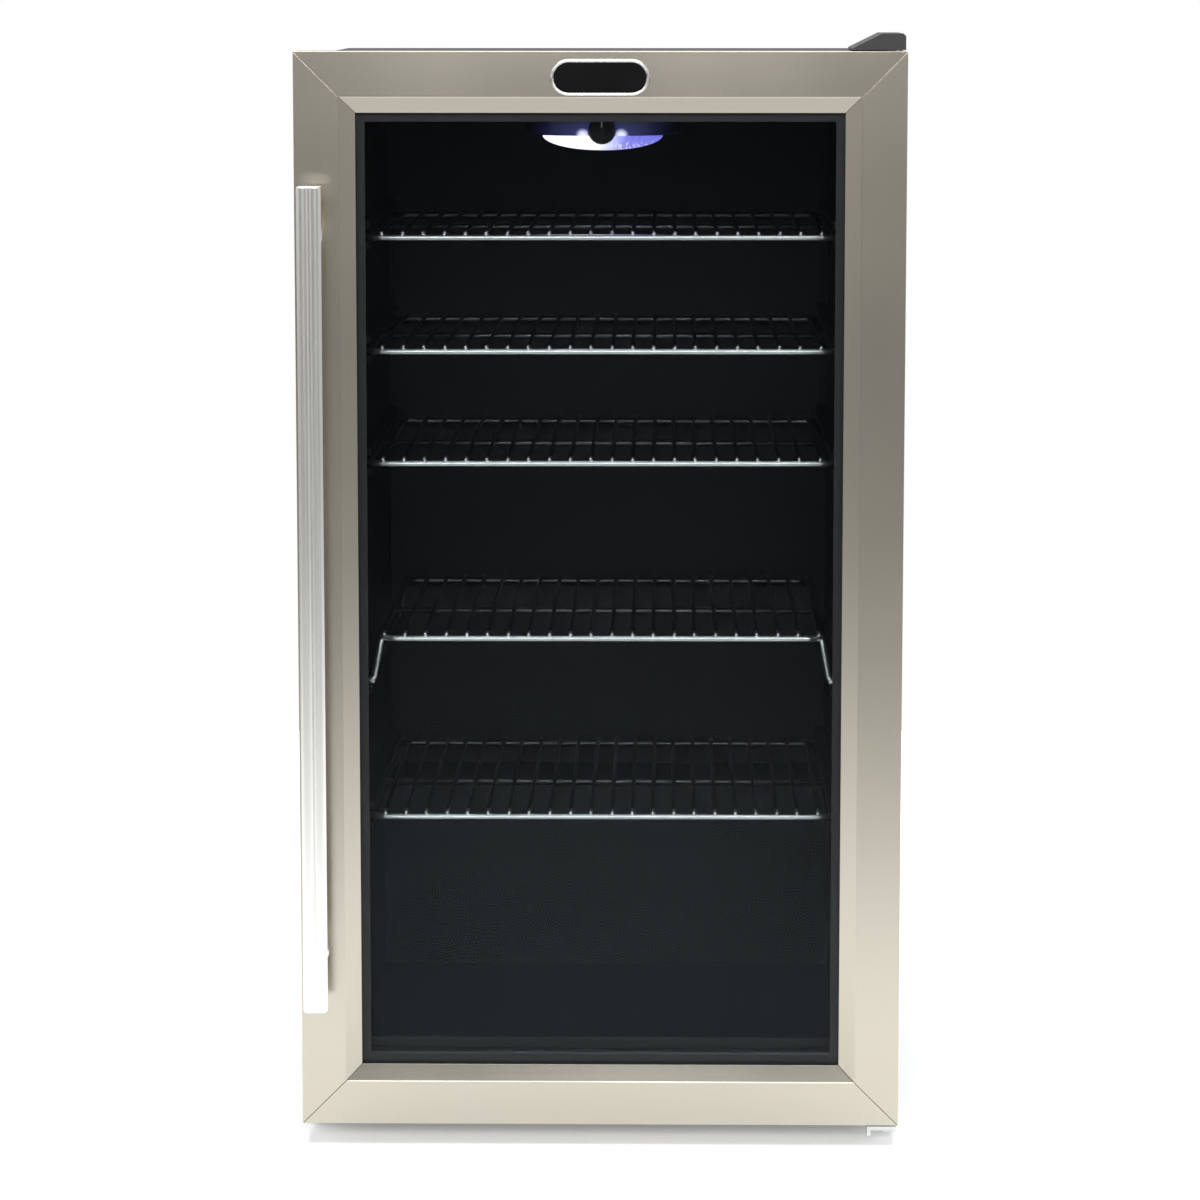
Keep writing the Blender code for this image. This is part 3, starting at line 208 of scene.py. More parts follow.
def powder_coat(graph):
    grain = graph.noise(900.0)
    tone = graph.noise(14.0)
    return {
        "Base Color": graph.mixed(tone, grey(0.011), grey(0.017)),
        "Roughness": 0.40 + 0.16 * grain,
        "Normal": graph.relief(grain, 0.00025, 0.5),
    }


def zinc_plate(graph):
    spangle = graph.noise(160.0, detail=3.0)
    return {
        "Base Color": graph.mixed(spangle, (0.52, 0.53, 0.54, 1), (0.68, 0.68, 0.67, 1)),
        "Roughness": 0.26 + 0.20 * spangle,
        "Normal": graph.relief(spangle, 0.00005, 0.3),
    }


def satin_plastic(low, high, scale, depth):
    """Moulded plastic between two greys with a fine spark-eroded grain."""

    def recipe(graph):
        grain = graph.noise(scale)
        tone = graph.noise(9.0)
        return {
            "Base Color": graph.mixed(tone, low, high),
            "Roughness": 0.30 + 0.20 * grain,
            "Normal": graph.relief(grain, depth, 0.5),
        }

    return recipe


def moulded_rubber(graph):
    grain = graph.noise(700.0)
    dust = graph.noise(30.0, detail=3.0)
    return {
        "Base Color": graph.mixed(dust, grey(0.012), grey(0.026)),
        "Roughness": 0.55 + 0.20 * grain,
        "Normal": graph.relief(grain, 0.0001, 0.4),
    }


def bright_chrome(graph):
    haze = graph.noise(260.0)
    return {
        "Base Color": graph.mixed(haze, (0.60, 0.60, 0.595, 1), (0.68, 0.675, 0.66, 1)),
        "Roughness": 0.20 + 0.14 * haze,
    }


def shelf_plating(graph):
    """Bright nickel along the front rail; the rods behind it are painted near-black as shade."""
    depth = graph.parts(graph.place())[1]
    haze = graph.noise(260.0)
    # painted shade: the rods behind the front rail are made near-black by their depth
    painted_shade_behind = graph.ease(depth, SHELF_FRONT + 0.0085, SHELF_FRONT + 0.0135)
    bright = graph.mixed(haze, (0.84, 0.84, 0.84, 1), (0.93, 0.925, 0.91, 1))
    return {
        "Base Color": graph.mixed(painted_shade_behind, bright, (0.09, 0.093, 0.097, 1)),
        "Roughness": 0.24 + 0.14 * haze,
    }


def drawn_copper(graph):
    tarnish = graph.noise(55.0, detail=4.0)
    return {
        "Base Color": graph.mixed(tarnish, (0.78, 0.40, 0.24, 1), (0.42, 0.20, 0.12, 1)),
        "Roughness": 0.22 + 0.25 * tarnish,
    }


def mill_aluminium(graph):
    rolled = graph.noise(1.0, (40, 900, 900))
    return {
        "Base Color": graph.mixed(rolled, grey(0.72), grey(0.82)),
        "Roughness": 0.28 + 0.16 * rolled,
        "Normal": graph.relief(rolled, 0.00004, 0.4),
    }


def poured_foam(graph):
    cells = graph.noise(420.0, detail=4.0)
    return {
        "Base Color": graph.mixed(cells, (0.70, 0.60, 0.38, 1), (0.86, 0.78, 0.56, 1)),
        "Roughness": 0.80 + 0.15 * cells,
        "Normal": graph.relief(cells, 0.0008, 0.6),
    }


def nylon(graph):
    tone = graph.noise(60.0)
    return {
        "Base Color": graph.mixed(tone, grey(0.72), (0.82, 0.81, 0.77, 1)),
        "Roughness": 0.38 + 0.12 * tone,
    }


def lamp_board(graph):
    tracks = graph.node("TexBrick", {"offset": 0.5}, {
        "Vector": graph.place(), "Scale": 260.0, "Mortar Size": 0.10,
        "Color1": (0.01, 0.10, 0.05, 1), "Color2": (0.015, 0.13, 0.06, 1), "Mortar": (0.30, 0.34, 0.10, 1),
    })
    return {"Base Color": tracks, "Roughness": 0.30 + 0.15 * graph.noise(300.0)}


def badge_enamel(graph):
    swirl = graph.noise(40.0, detail=1.0)
    return {
        "Base Color": graph.mixed(swirl, grey(0.0035), grey(0.006)),
        "Roughness": 0.14 + 0.06 * swirl,
    }


def lamp_glow(graph):
    """White at the lens's left side, turning blue-violet to the right, with painted highlights along the
    flutes.
    """
    across, _, height = graph.parts(graph.place())
    turn = graph.ease(across, -0.012, 0.022)
    flutes = graph.noise(1.0, (900, 120, 120), detail=1.0)
    hue = graph.mixed(turn, (0.93, 0.90, 1.0, 1), (0.12, 0.11, 0.50, 1))
    lower = graph.ease(height, LENS_HIGH.z - 0.003, LENS_LOW.z + 0.003)
    # painted highlights: white glints on the flutes at the lens's lower right
    spark = graph.ease(flutes, 0.50, 0.60) * graph.ease(across, -0.004, 0.012) * lower * 0.8
    return {
        "Base Color": (0.30, 0.32, 0.45, 1),
        "Emission Color": graph.mixed(spark, hue, (0.70, 0.72, 1.0, 1)),
        "Roughness": 0.16 + 0.10 * flutes,
    }


def painted_glint_spot(graph, across, height, out, up, reach):
    """A soft round painted highlight on each side of the middle, out from it and up from the lens."""
    sideways, rise = abs(across) - out, height - LENS_HIGH.z - up
    return graph.ease((sideways * sideways + rise * rise) ** 0.5, reach, reach * 0.2)


def lamp_bowl(graph):
    """Dark blue-black bowl with a painted blue glow from its lamp towards the middle and the lower edge, and
    painted highlights beside the middle.
    """
    across, _, height = graph.parts(graph.place())
    middle = graph.ease(abs(across), 0.058, 0.004)
    low = graph.ease(height, BOWL_HIGH.z + 0.0013, BOWL_LOW.z - 0.0002)
    near = painted_glint_spot(graph, across, height, out=0.0145, up=0.0005, reach=0.0062)
    far = painted_glint_spot(graph, across, height, out=0.0064, up=0.0058, reach=0.0024) * 0.25
    # painted light: blue glow from the lens, and near and far painted highlights, all in the bowl's emission
    blue = graph.mixed(middle * low, grey(0.0), (0.11, 0.11, 0.62, 1))
    return {
        "Base Color": graph.mixed(graph.noise(30.0), (0.006, 0.007, 0.012, 1), (0.010, 0.010, 0.018, 1)),
        "Emission Color": graph.mixed(near + far, blue, (4.0, 4.0, 5.5, 1)),
        "Roughness": 0.28 + 0.15 * graph.noise(500.0),
    }


def tinted(name, tint, mirror):
    """Flat glass: it passes a tint and its outer faces mirror, with faint rolling in their gloss."""
    made = bpy.data.materials.new(name)
    made.use_nodes = True
    graph = Graph(made.node_tree)
    rolling = graph.noise(5.0, detail=1.0)
    through = graph.node("BsdfTransparent", inputs={"Color": tint})
    gloss = graph.node("BsdfPrincipled", inputs={
        "Base Color": mirror, "Metallic": 1.0, "Roughness": 0.01 + 0.02 * rolling,
    })
    inner_face = graph.node("NewGeometry", output="Backfacing")
    edge = graph.node("Fresnel", inputs={"IOR": 1.30}) * (1.0 - inner_face)
    both = graph.node("MixShader", inputs={0: edge, 1: through, 2: gloss})
    graph.node("OutputMaterial", inputs={"Surface": both})
    return made


FINISH = {
    "brushed_steel": brushed("X"),
    "handle_steel": finish("handle_steel", handle_satin, Metallic=1.0),
    "black_steel": finish("powder_coat", powder_coat),
    "plated_steel": finish("zinc_plate", zinc_plate, Metallic=1.0),
    "black_plastic": finish("black_plastic", satin_plastic(grey(0.010), grey(0.015), 800.0, 0.0001)),
    "liner_plastic": finish(
        "liner_plastic",
        satin_plastic((0.005, 0.006, 0.007, 1), (0.007, 0.008, 0.009, 1), 500.0, 0.00008),
        IOR=1.30,
    ),
    "door_plastic": finish("door_plastic", satin_plastic(grey(0.009), grey(0.013), 650.0, 0.0001)),
    "badge_black": finish("badge_enamel", badge_enamel, IOR=1.22),
    "tinted_glass": tinted("tinted_glass", (0.85, 0.86, 0.87, 1), (0.36, 0.41, 0.44, 1)),
    "clear_glass": tinted("clear_glass", (0.93, 0.94, 0.94, 1), (0.30, 0.38, 0.45, 1)),
    "gasket_rubber": finish("gasket_rubber", moulded_rubber),
    "rubber": finish("foot_rubber", moulded_rubber),
    "shelf_chrome": finish("shelf_plating", shelf_plating, Metallic=1.0),
    "white_nylon": finish("white_nylon", nylon),
    "aluminium": finish("mill_aluminium", mill_aluminium, Metallic=1.0),
    "copper": finish("drawn_copper", drawn_copper, Metallic=1.0),
    "foam": finish("poured_foam", poured_foam),
    "lens_plastic": finish("lamp_glow", lamp_glow, Emission_Strength=2.2, Coat_Weight=0.4),
    "circuit_board": finish("lamp_board", lamp_board),
}
UPRIGHT_STEEL = brushed("Z")
POLISHED = finish("polished_rim", bright_chrome, Metallic=1.0)
# the bowl's emission is painted light: a blue glow and two highlights
BOWL = finish("lamp_bowl", lamp_bowl, Emission_Strength=0.35)
FRIT = finish("black_frit", satin_plastic(grey(0.004), grey(0.006), 900.0, 0.00002))
SLOTS = {part["node"]: part["material_slot"] for part in frame["record"]["subparts"]}


# ---- shapes --------------------------------------------------------------------------------------
def skin(bm, first, second):
    """Quads between two closed loops of the same count."""
    for i in range(len(first)):
        j = (i + 1) % len(first)
        bm.faces.new((first[i], first[j], second[j], second[i]))


def turned(bm, profile, centre, axis="Z", steps=48, flutes=0, stretch=1.0):
    """Points of (radius, height, flute depth) spun about an axis, its flat ends filled."""
    loops = []
    for radius, height, *depth in profile:
        loop = []
        for i in range(steps):
            angle = 2 * math.pi * i / steps
            reach = radius - (depth[0] * (0.5 - 0.5 * math.cos(flutes * angle)) if depth else 0.0)
            across, up = reach * math.cos(angle) * stretch, reach * math.sin(angle)
            spot = {"Z": (across, up, height), "Y": (across, height, up), "X": (height, across, up)}
            loop.append(bm.verts.new(Vector(spot[axis]) + Vector(centre)))
        loops.append(loop)
    for first, second in zip(loops, loops[1:]):
        skin(bm, first, second)
    bm.faces.new(loops[0])
    bm.faces.new(loops[-1])


def drawn(bm, outline, axis, start, end):
    """A closed outline drawn out along an axis: its two numbers are the other two axes in order."""
    place = "XYZ".index(axis)
    loops = []
    for along in (start, end):
        loops.append([bm.verts.new((*point[:place], along, *point[place:])) for point in outline])
    skin(bm, *loops)
    for loop in loops:
        bm.faces.new(loop)


def block(bm, low, high):
    outline = [(low[0], low[1]), (high[0], low[1]), (high[0], high[1]), (low[0], high[1])]
    drawn(bm, outline, "Z", low[2], high[2])


def rounded(left, right, low, high, radius, steps=8):
    """A rectangle with round corners, or square ones where the radius is nothing."""
    if radius <= 0:
        return [(left, low), (right, low), (right, high), (left, high)]
    corners = (
        (right - radius, low + radius, -90),
        (right - radius, high - radius, 0),
        (left + radius, high - radius, 90),
        (left + radius, low + radius, 180),
    )
    points = []
    for across, up, first in corners:
        for i in range(steps + 1):
            angle = math.radians(first + 90 * i / steps)
            points.append((across + radius * math.cos(angle), up + radius * math.sin(angle)))
    return points


def surround(bm, box, section, radius=0.0, lid=False):
    """A section of (inset, y) points carried round an upright outline, into a ring or a lidded plate."""
    low, high = box
    loops = []
    for inset, y in section:
        corner = max(radius - inset, 0.0002) if radius else 0.0
        edge = rounded(low.x + inset, high.x - inset, low.z + inset, high.z - inset, corner)
        loops.append([bm.verts.new((x, y, z)) for x, z in edge])
    for first, second in zip(loops, loops[1:]):
        skin(bm, first, second)
    if lid:
        bm.faces.new(loops[-1])
        bm.faces.new(loops[0])
    else:
        skin(bm, loops[-1], loops[0])


def bent(points, radius, steps=5):
    """A route through points with each inner corner rounded."""
    points = [Vector(p) for p in points]
    route = [points[0]]
    for before, corner, after in zip(points, points[1:], points[2:]):
        into, out = (before - corner).normalized(), (after - corner).normalized()
        half = into.angle(out) / 2
        reach = min(radius / math.tan(half), 0.49 * (before - corner).length, 0.49 * (after - corner).length)
        hub = corner + (into + out).normalized() * reach / math.cos(half)
        start, end = corner + into * reach - hub, corner + out * reach - hub
        for i in range(steps + 1):
            arm = start.lerp(end, i / steps).normalized() * start.length
            route.append(hub + arm)
    return [*route, points[-1]]


def loop_route(left, right, front, back, height, radius):
    return [(x, y, height) for x, y in rounded(left, right, front, back, radius, 5)]


DOME = ((0.0, 0.35), (0.25, 0.78), (0.8, 1.0))  # share of the radius in from a rod's end, and out


def rod(bm, route, radius, sides=8, closed=False):
    """A round bar along a route, its ends domed unless it closes on itself."""
    points = [Vector(p) for p in route]
    count = len(points)
    ways = []
    for i in range(count):
        before = points[i - 1] if closed or i else points[0]
        after = points[(i + 1) % count] if closed or i < count - 1 else points[-1]
        ways.append((after - before).normalized())
    stations = [(p, w, radius) for p, w in zip(points, ways)]
    if not closed:
        first, last = stations[0], stations[-1]
        nose = [(first[0] + first[1] * radius * d, first[1], radius * r) for d, r in DOME]
        tail = [(last[0] - last[1] * radius * d, last[1], radius * r) for d, r in DOME[::-1]]
        stations = [*nose, *stations[1:-1], *tail]
    across = ways[0].orthogonal().normalized()
    loops = []
    for place, way, reach in stations:
        across = (across - way * across.dot(way)).normalized()
        up = way.cross(across)
        turn = [2 * math.pi * i / sides for i in range(sides)]
        spots = [place + (across * math.cos(a) + up * math.sin(a)) * reach for a in turn]
        loops.append([bm.verts.new(spot) for spot in spots])
    for one, two in zip(loops, loops[1:]):
        skin(bm, one, two)
    if closed:
        shift = min(range(sides), key=lambda s: (loops[0][s].co - loops[-1][0].co).length)
        skin(bm, loops[-1], loops[0][shift:] + loops[0][:shift])
    else:
        bm.faces.new(loops[0])
        bm.faces.new(loops[-1])


def made(name, bm, body, slot, stands_for=(), paint=None, ease=0.0, crease=38):
    """A piece on its body, in its slot's finish or another, standing for the CAD nodes under it."""
    bmesh.ops.recalc_face_normals(bm, faces=bm.faces)
    mesh = bpy.data.meshes.new(name)
    bm.to_mesh(mesh)
    bm.free()
    mesh.polygons.foreach_set("use_smooth", [True] * len(mesh.polygons))
    obj = bpy.data.objects.new(name, mesh)
    bpy.context.scene.collection.objects.link(obj)
    mesh.materials.append(paint or FINISH[slot])
    if ease:
        bevel = obj.modifiers.new("eased_edges", "BEVEL")
        bevel.width = ease
        bevel.segments = 3
        bevel.limit_method = "ANGLE"
        bevel.angle_limit = math.radians(crease)
        obj.modifiers.new("flat_faces", "WEIGHTED_NORMAL").keep_sharp = True
    else:
        mesh.set_sharp_from_angle(angle=math.radians(crease))
    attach(obj, body)
    if stands_for:
        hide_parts(*stands_for)


def own_shape(node):
    """The node's own mesh with its doubled points merged."""
    bm = bmesh.new()
    bm.from_mesh(NODES[node].data)
    bmesh.ops.remove_doubles(bm, verts=bm.verts, dist=2e-6)
    return bm


def eased(node, width, paint=None, crease=18):
    """The node's own shape with its sharp edges rounded over."""
    bm = own_shape(node)
    bmesh.ops.dissolve_limit(bm, angle_limit=math.radians(0.5), verts=bm.verts, edges=bm.edges)
    made(f"{node}_finished", bm, NODES[node]["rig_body"], SLOTS[node], [node], paint, width, crease)


def smooth_tube(node):
    """The node's own shape, shaded round."""
    made(f"{node}_round", own_shape(node), NODES[node]["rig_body"], SLOTS[node], [node], crease=60)


def screw_head(bm, centre, axis, outward, radius):
    """A pan head with a six-lobed recess, its flat against the panel."""
    h = radius * outward
    profile = [(radius, 0.0), (radius, 0.25 * h), (radius * 0.86, 0.52 * h), (radius * 0.52, 0.66 * h)]
    profile += [(radius * 0.46, 0.66 * h, radius * 0.14), (radius * 0.42, 0.24 * h, radius * 0.14)]
    turned(bm, profile, centre, axis, 24, 6)


# ---- door ----------------------------------------------------------------------------------------
def door_steel():
    """Four mitred strips, each brushed along its own length."""
    for side in ("top", "bottom"):
        eased(f"trim_{side}", 0.0003)
    for side in ("left", "right"):
        eased(f"trim_{side}", 0.0003, UPRIGHT_STEEL)
    eased("door_frame", 0.0005)


def glazing():
    """Two panes, the outer one with a black band that hides the spacer."""
    for pane in ("outer_glass", "inner_glass"):
        eased(pane, 0.0004)
    low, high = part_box("outer_glass")
    front, back = high.y + 0.00004, high.y + 0.0002
    band = 0.0145
    section = [(0.0003, front), (band, front), (band, back), (0.0003, back)]
    bm = bmesh.new()
    surround(bm, (low, high), section)
    made("frit_band", bm, "door", "tinted_glass", paint=FRIT)
    eased("glass_spacer", 0.0003)


def gasket():
    """A magnetic bellows seal: a foot in the door's groove, two folds and a flat magnet face."""
    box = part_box("door_gasket")
    front, back = box[0].y, box[1].y
    wide = 0.014
    section = [
        (0.0030, front),
        (0.0030, front + 0.0016),
        (0.0004, front + 0.0030),
        (0.0000, front + 0.0042),
        (0.0016, front + 0.0052),
        (0.0016, front + 0.0060),
        (0.0002, front + 0.0068),
        (0.0000, back - 0.0006),
        (0.0008, back),
        (wide - 0.0008, back),
        (wide, back - 0.0006),
        (wide - 0.0002, front + 0.0068),
        (wide - 0.0020, front + 0.0060),
        (wide - 0.0020, front + 0.0052),
        (wide - 0.0004, front + 0.0042),
        (wide - 0.0008, front + 0.0030),
        (wide - 0.0034, front + 0.0016),
        (wide - 0.0034, front),
    ]
    bm = bmesh.new()
    surround(bm, box, section)
    made("bellows_seal", bm, "door", "gasket_rubber", ["door_gasket"], crease=50)


def handle():
    """A drawn bar with two rounded ribs, its end caps, and two posts with collars."""
    low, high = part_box("handle_bar")
    middle, half = (low.x + high.x) / 2, (high.x - low.x) / 2
    rib, pitch = 0.0060, 0.0044  # rib radius, and its middle to the groove
    front = [Vector((half - 0.0016, 0.0068)), Vector((half - 0.0003, 0.0046))]
    reach = half - pitch - 0.0002
    for i in range(11):
        across = reach - (reach + pitch) * i / 10
        front.append(Vector((pitch + across, rib - math.sqrt(rib * rib - across * across))))
    right = [(p.x, p.y) for p in front]
    left = [(-x, y) for x, y in right[-2::-1]]
    back = high.y - low.y
    outline = [(half - 0.0016, back - 0.0002), *right, *left, (-half + 0.0016, back - 0.0002)]
    outline = [(middle + x, low.y + y) for x, y in outline]
    bm = bmesh.new()
    drawn(bm, outline, "Z", low.z + 0.0012, high.z - 0.0012)
    made("fluted_handle", bm, "door", "handle_steel", ["handle_bar"], crease=42)

    bm = bmesh.new()
    inner = rounded(low.x + 0.0004, high.x - 0.0004, low.y + 0.0006, high.y - 0.0004, 0.0036, 6)
    for start, end in ((low.z, low.z + 0.0013), (high.z - 0.0013, high.z)):
        drawn(bm, inner, "Z", start, end)
    made("handle_end_caps", bm, "door", "handle_steel", ease=0.0004)

    for post in ("handle_post_upper", "handle_post_lower"):
        low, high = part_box(post)
        radius, length = (high.x - low.x) / 2, high.y - low.y
        profile = [
            (radius * 0.9, 0.0),
            (radius, 0.0008),
            (radius, length - 0.0034),
            (radius + 0.0012, length - 0.0028),
            (radius + 0.0016, length - 0.0004),
            (radius + 0.0014, length),
        ]
        bm = bmesh.new()
        turned(bm, profile, ((low.x + high.x) / 2, low.y, (low.z + high.z) / 2), "Y", 40)
        made(f"{post}_turned", bm, "door", "handle_steel", [post])


def badge():
    """A blank black enamel plate in a polished rim."""
    low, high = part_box("badge_plate")
    round_end = (high.z - low.z) / 2
    back, front = high.y, low.y
    rim = [
        (0.0, back),
        (0.0, front + 0.0009),
        (0.0004, front + 0.0003),
        (0.0011, front),
        (0.0019, front + 0.0002),
        (0.0024, front + 0.0007),
        (0.0026, front + 0.0012),
        (0.0026, back),
    ]
    bm = bmesh.new()
    surround(bm, (low, high), rim, round_end)
    made("badge_rim", bm, "door", "shelf_chrome", paint=POLISHED, crease=60)
    plate = [(0.0024, back), (0.0024, front + 0.0010), (0.0029, front + 0.0007)]
    bm = bmesh.new()
    surround(bm, (low, high), plate, round_end, lid=True)
    made("badge_enamel_plate", bm, "door", "badge_black", ["badge_plate"], crease=20)


# ---- shelves -------------------------------------------------------------------------------------
FRAME_ROD = 0.0024
DECK_ROD = 0.0015
ROD_PITCH = 0.01578
FRAME_BEND = 0.011
WELD = 0.0005  # how far welded rods press into each other
MIDDLE_ROD = 0.46  # its place along the depth


def shelf_deck(bm, low, high, height):
    """A frame of bent rod with a middle rod, and thin rods welded over them front to back."""
    left, right = low.x + FRAME_ROD, high.x - FRAME_ROD
    front, back = low.y + FRAME_ROD, high.y - FRAME_ROD
    rod(bm, loop_route(left, right, front, back, height, FRAME_BEND), FRAME_ROD, 12, closed=True)
    across = front + MIDDLE_ROD * (back - front)
    rod(bm, [(left, across, height), (right, across, height)], FRAME_ROD * 0.9, 10)
    top = height + FRAME_ROD + DECK_ROD - WELD
    count = 2 * int(((right - left) / 2 - 0.0006) / ROD_PITCH + 0.5)
    for i in range(count):
        x = ROD_PITCH * (i - (count - 1) / 2)
        dip = 0.0007 * math.sin(i * 2.4)  # no two rods lie quite alike
        ends = (x + dip * 0.4, low.y + 0.0002 + abs(dip), top), (x - dip * 0.4, high.y - 0.0004, top)
        rod(bm, ends, DECK_ROD, 8)
        for y in (front, across, back):
            nugget = [(0.0, -0.6), (0.75, -0.35), (1.0, 0.2), (0.6, 0.6)]
            profile = [(DECK_ROD * (0.3 + r), DECK_ROD * h) for r, h in nugget]
            turned(bm, profile, (x, y, height + FRAME_ROD), "Z", 8)


def shelves():
    for number in range(1, 6):
        node = f"shelf_{number}"
        low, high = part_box(node)
        nodes = [node]
        bm = bmesh.new()
        level = low.z + 0.0025
        shelf_deck(bm, low, high, level)
        if number == 4:
            for word, side in (("left", -1), ("right", 1)):
                runner = f"{node}_runner_{word}"
                nodes.append(runner)
                raised_shelf_side(bm, side, level, high, *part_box(runner))
        made(f"wire_{node}", bm, node, "shelf_chrome", nodes, crease=60)


def raised_shelf_side(bm, side, level, deck, low, high):
    """One rod: down a sloping leg, back along the runner and up again, with a toe at each end."""
    outer = high.x - FRAME_ROD if side > 0 else low.x + FRAME_ROD
    inner = side * (deck.x - FRAME_ROD)
    front, back = low.y + FRAME_ROD, high.y - FRAME_ROD
    foot = low.z + FRAME_ROD
    route = [(inner, front + 0.002, level), (outer - side * 0.003, front + 0.002, foot + 0.002)]
    route += [(outer, front, foot), (outer, back, foot), (outer - side * 0.003, back - 0.002, foot + 0.002)]
    route += [(inner, back - 0.002, level)]
    rod(bm, bent(route, 0.004, 3), FRAME_ROD * 0.95, 10)
    for y in (front, back):
        rod(bm, [(outer - side * 0.004, y, foot), (outer + side * 0.0022, y, foot)], FRAME_ROD * 0.9, 10)


# ---- inside --------------------------------------------------------------------------------------
def inside():
    eased("inner_liner", 0.0012)
    eased("front_frame", 0.0006)
    eased("switch_bezel", 0.0005)
    eased("light_switch", 0.0004)
    lamp()
    thermostat()


def lamp():
    """An oval bowl with a thick edge, and a fluted lens domed out below it."""
    centre = ((BOWL_LOW.x + BOWL_HIGH.x) / 2, (BOWL_LOW.y + BOWL_HIGH.y) / 2, 0.0)
    half = (BOWL_HIGH.x - BOWL_LOW.x) / 2
    half_x, half_y = (LENS_HIGH.x - LENS_LOW.x) / 2, (LENS_HIGH.y - LENS_LOW.y) / 2
    border = 0.0115  # the bowl beyond the lens, front and back
    stretch = half / (half_y + border)
    deep = half / stretch
    top, bottom = BOWL_HIGH.z, BOWL_LOW.z
    bowl = [
        (deep, top),
        (deep, top - 0.0030),
        (deep * 0.985, top - 0.0046),
        (deep * 0.955, bottom + 0.0040),
        (deep * 0.925, bottom + 0.0012),
        (deep * 0.900, bottom),
        (deep * 0.800, bottom + 0.0002),
        (deep * 0.785, bottom + 0.0030),
        (deep * 0.770, bottom + 0.0060),
    ]
    bm = bmesh.new()
    turned(bm, bowl, centre, "Z", 96, stretch=stretch)
    made("lamp_bowl", bm, "cabinet", "black_plastic", ["lamp_housing"], BOWL)

    drop = bottom - LENS_LOW.z
    dome = []
    for i in range(11):
        lean = math.radians(86 * i / 10)
        flute = 0.0011 * math.cos(lean) if i else 0.0
        dome.append((half_y * math.cos(lean), bottom - 0.0003 - drop * math.sin(lean), flute))
    bm = bmesh.new()
    turned(bm, dome, centre, "Z", 288, 48, half_x / half_y)
    made("fluted_lens", bm, "cabinet", "lens_plastic", ["lamp_lens"], crease=70)


def thermostat():
    """A ribbed knob with a grip bar and a pointer line."""
    low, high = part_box("thermostat_knob")
    x, z, back = (low.x + high.x) / 2, (low.z + high.z) / 2, high.y
    radius, length = (high.x - low.x) / 2, high.y - low.y
    face = back - 0.6 * length
    profile = [
        (radius, back),
        (radius, back - 0.0009),
        (radius * 0.96, back - 0.0013, 0.0007),
        (radius * 0.93, face + 0.0008, 0.0007),
        (radius * 0.86, face),
        (radius * 0.60, face - 0.0002),
    ]
    bm = bmesh.new()
    turned(bm, profile, (x, 0, z), "Y", 144, 24)
    grip = rounded(x - 0.0018, x + 0.0018, z - 0.8 * radius, z + 0.8 * radius, 0.0015, 4)
    drawn(bm, grip, "Y", low.y, face + 0.0004)
    made("ribbed_knob", bm, "thermostat_knob", "black_plastic", ["thermostat_knob"], crease=45)
    bm = bmesh.new()
    start = (x - 0.0004, low.y - 0.0001, z + 0.25 * radius)
    end = (x + 0.0004, low.y + 0.0002, z + 0.78 * radius)
    block(bm, start, end)
    made("knob_pointer", bm, "thermostat_knob", "white_nylon")


# ---- cabinet -------------------------------------------------------------------------------------
def cabinet():
    eased("cabinet_shell", 0.0005, crease=30)
    eased("back_panel", 0.0004)
    eased("base_pan", 0.0006)
    eased("bay_panel", 0.0004)
    eased("insulation_foam", 0.0)
    low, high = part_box("back_panel")
    bm = bmesh.new()
    for x in (low.x + 0.012, high.x - 0.012):
        for i in range(5):
            z = low.z + 0.015 + (high.z - low.z - 0.040) * i / 4
            screw_head(bm, (x, high.y, z), "Y", 1, 0.0036)
    for x in (-0.12, 0.0, 0.12):
        screw_head(bm, (x, high.y, high.z - 0.012), "Y", 1, 0.0036)
    made("back_panel_screws", bm, "cabinet", "plated_steel")


def hinges():
    eased("top_hinge_cover", 0.0009)
    eased("top_hinge_bracket", 0.0005)
    eased("lower_hinge_bracket", 0.0006)
    eased("lower_hinge_pin", 0.0003)
    eased("top_hinge_pin", 0.0003)
    low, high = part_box("top_hinge_bracket")
    bm = bmesh.new()
    for x in (low.x + 0.008, high.x - 0.008):
        screw_head(bm, (x, high.y - 0.009, low.z + 0.0032), "Z", 1, 0.0038)
    made("top_hinge_screws", bm, "cabinet", "plated_steel")
    low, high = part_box("lower_hinge_bracket")
    bm = bmesh.new()
    middle = (low.x + high.x) / 2
    for y in (high.y - 0.010, high.y - 0.040):
        screw_head(bm, (middle, y, high.z - 0.0031), "Z", -1, 0.0040)
    made("lower_hinge_screws", bm, "cabinet", "plated_steel")


def feet():
    """Levelling feet with a ribbed grip on a threaded stud, and plain rear feet."""
    for word in ("left", "right"):
        node = f"levelling_foot_{word}"
        low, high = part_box(node)
        centre = ((low.x + high.x) / 2, (low.y + high.y) / 2, 0.0)
        radius = (high.x - low.x) / 2
        rubber = [
            (radius * 0.90, low.z),
            (radius * 0.96, low.z + 0.0006),
            (radius, low.z + 0.0018, 0.0009),
            (radius, 0.0064, 0.0009),
            (radius * 0.94, 0.0080),
            (radius * 0.80, 0.0090),
            (radius * 0.40, 0.0090),
        ]
        bm = bmesh.new()
        turned(bm, rubber, centre, "Z", 120, 20)
        made(f"{node}_grip", bm, node, "rubber", [node])
        stud = [(0.0040, 0.0086)]
        for turn in range(20):
            height = 0.0092 + turn * 0.00122
            stud += [(0.0040, height), (0.0034, height + 0.0006)]
        stud += [(0.0034, high.z - 0.0006), (0.0028, high.z)]
        bm = bmesh.new()
        turned(bm, stud, centre, "Z", 24)
        made(f"{node}_stud", bm, node, "plated_steel")
        eased(f"rear_foot_{word}", 0.0006)


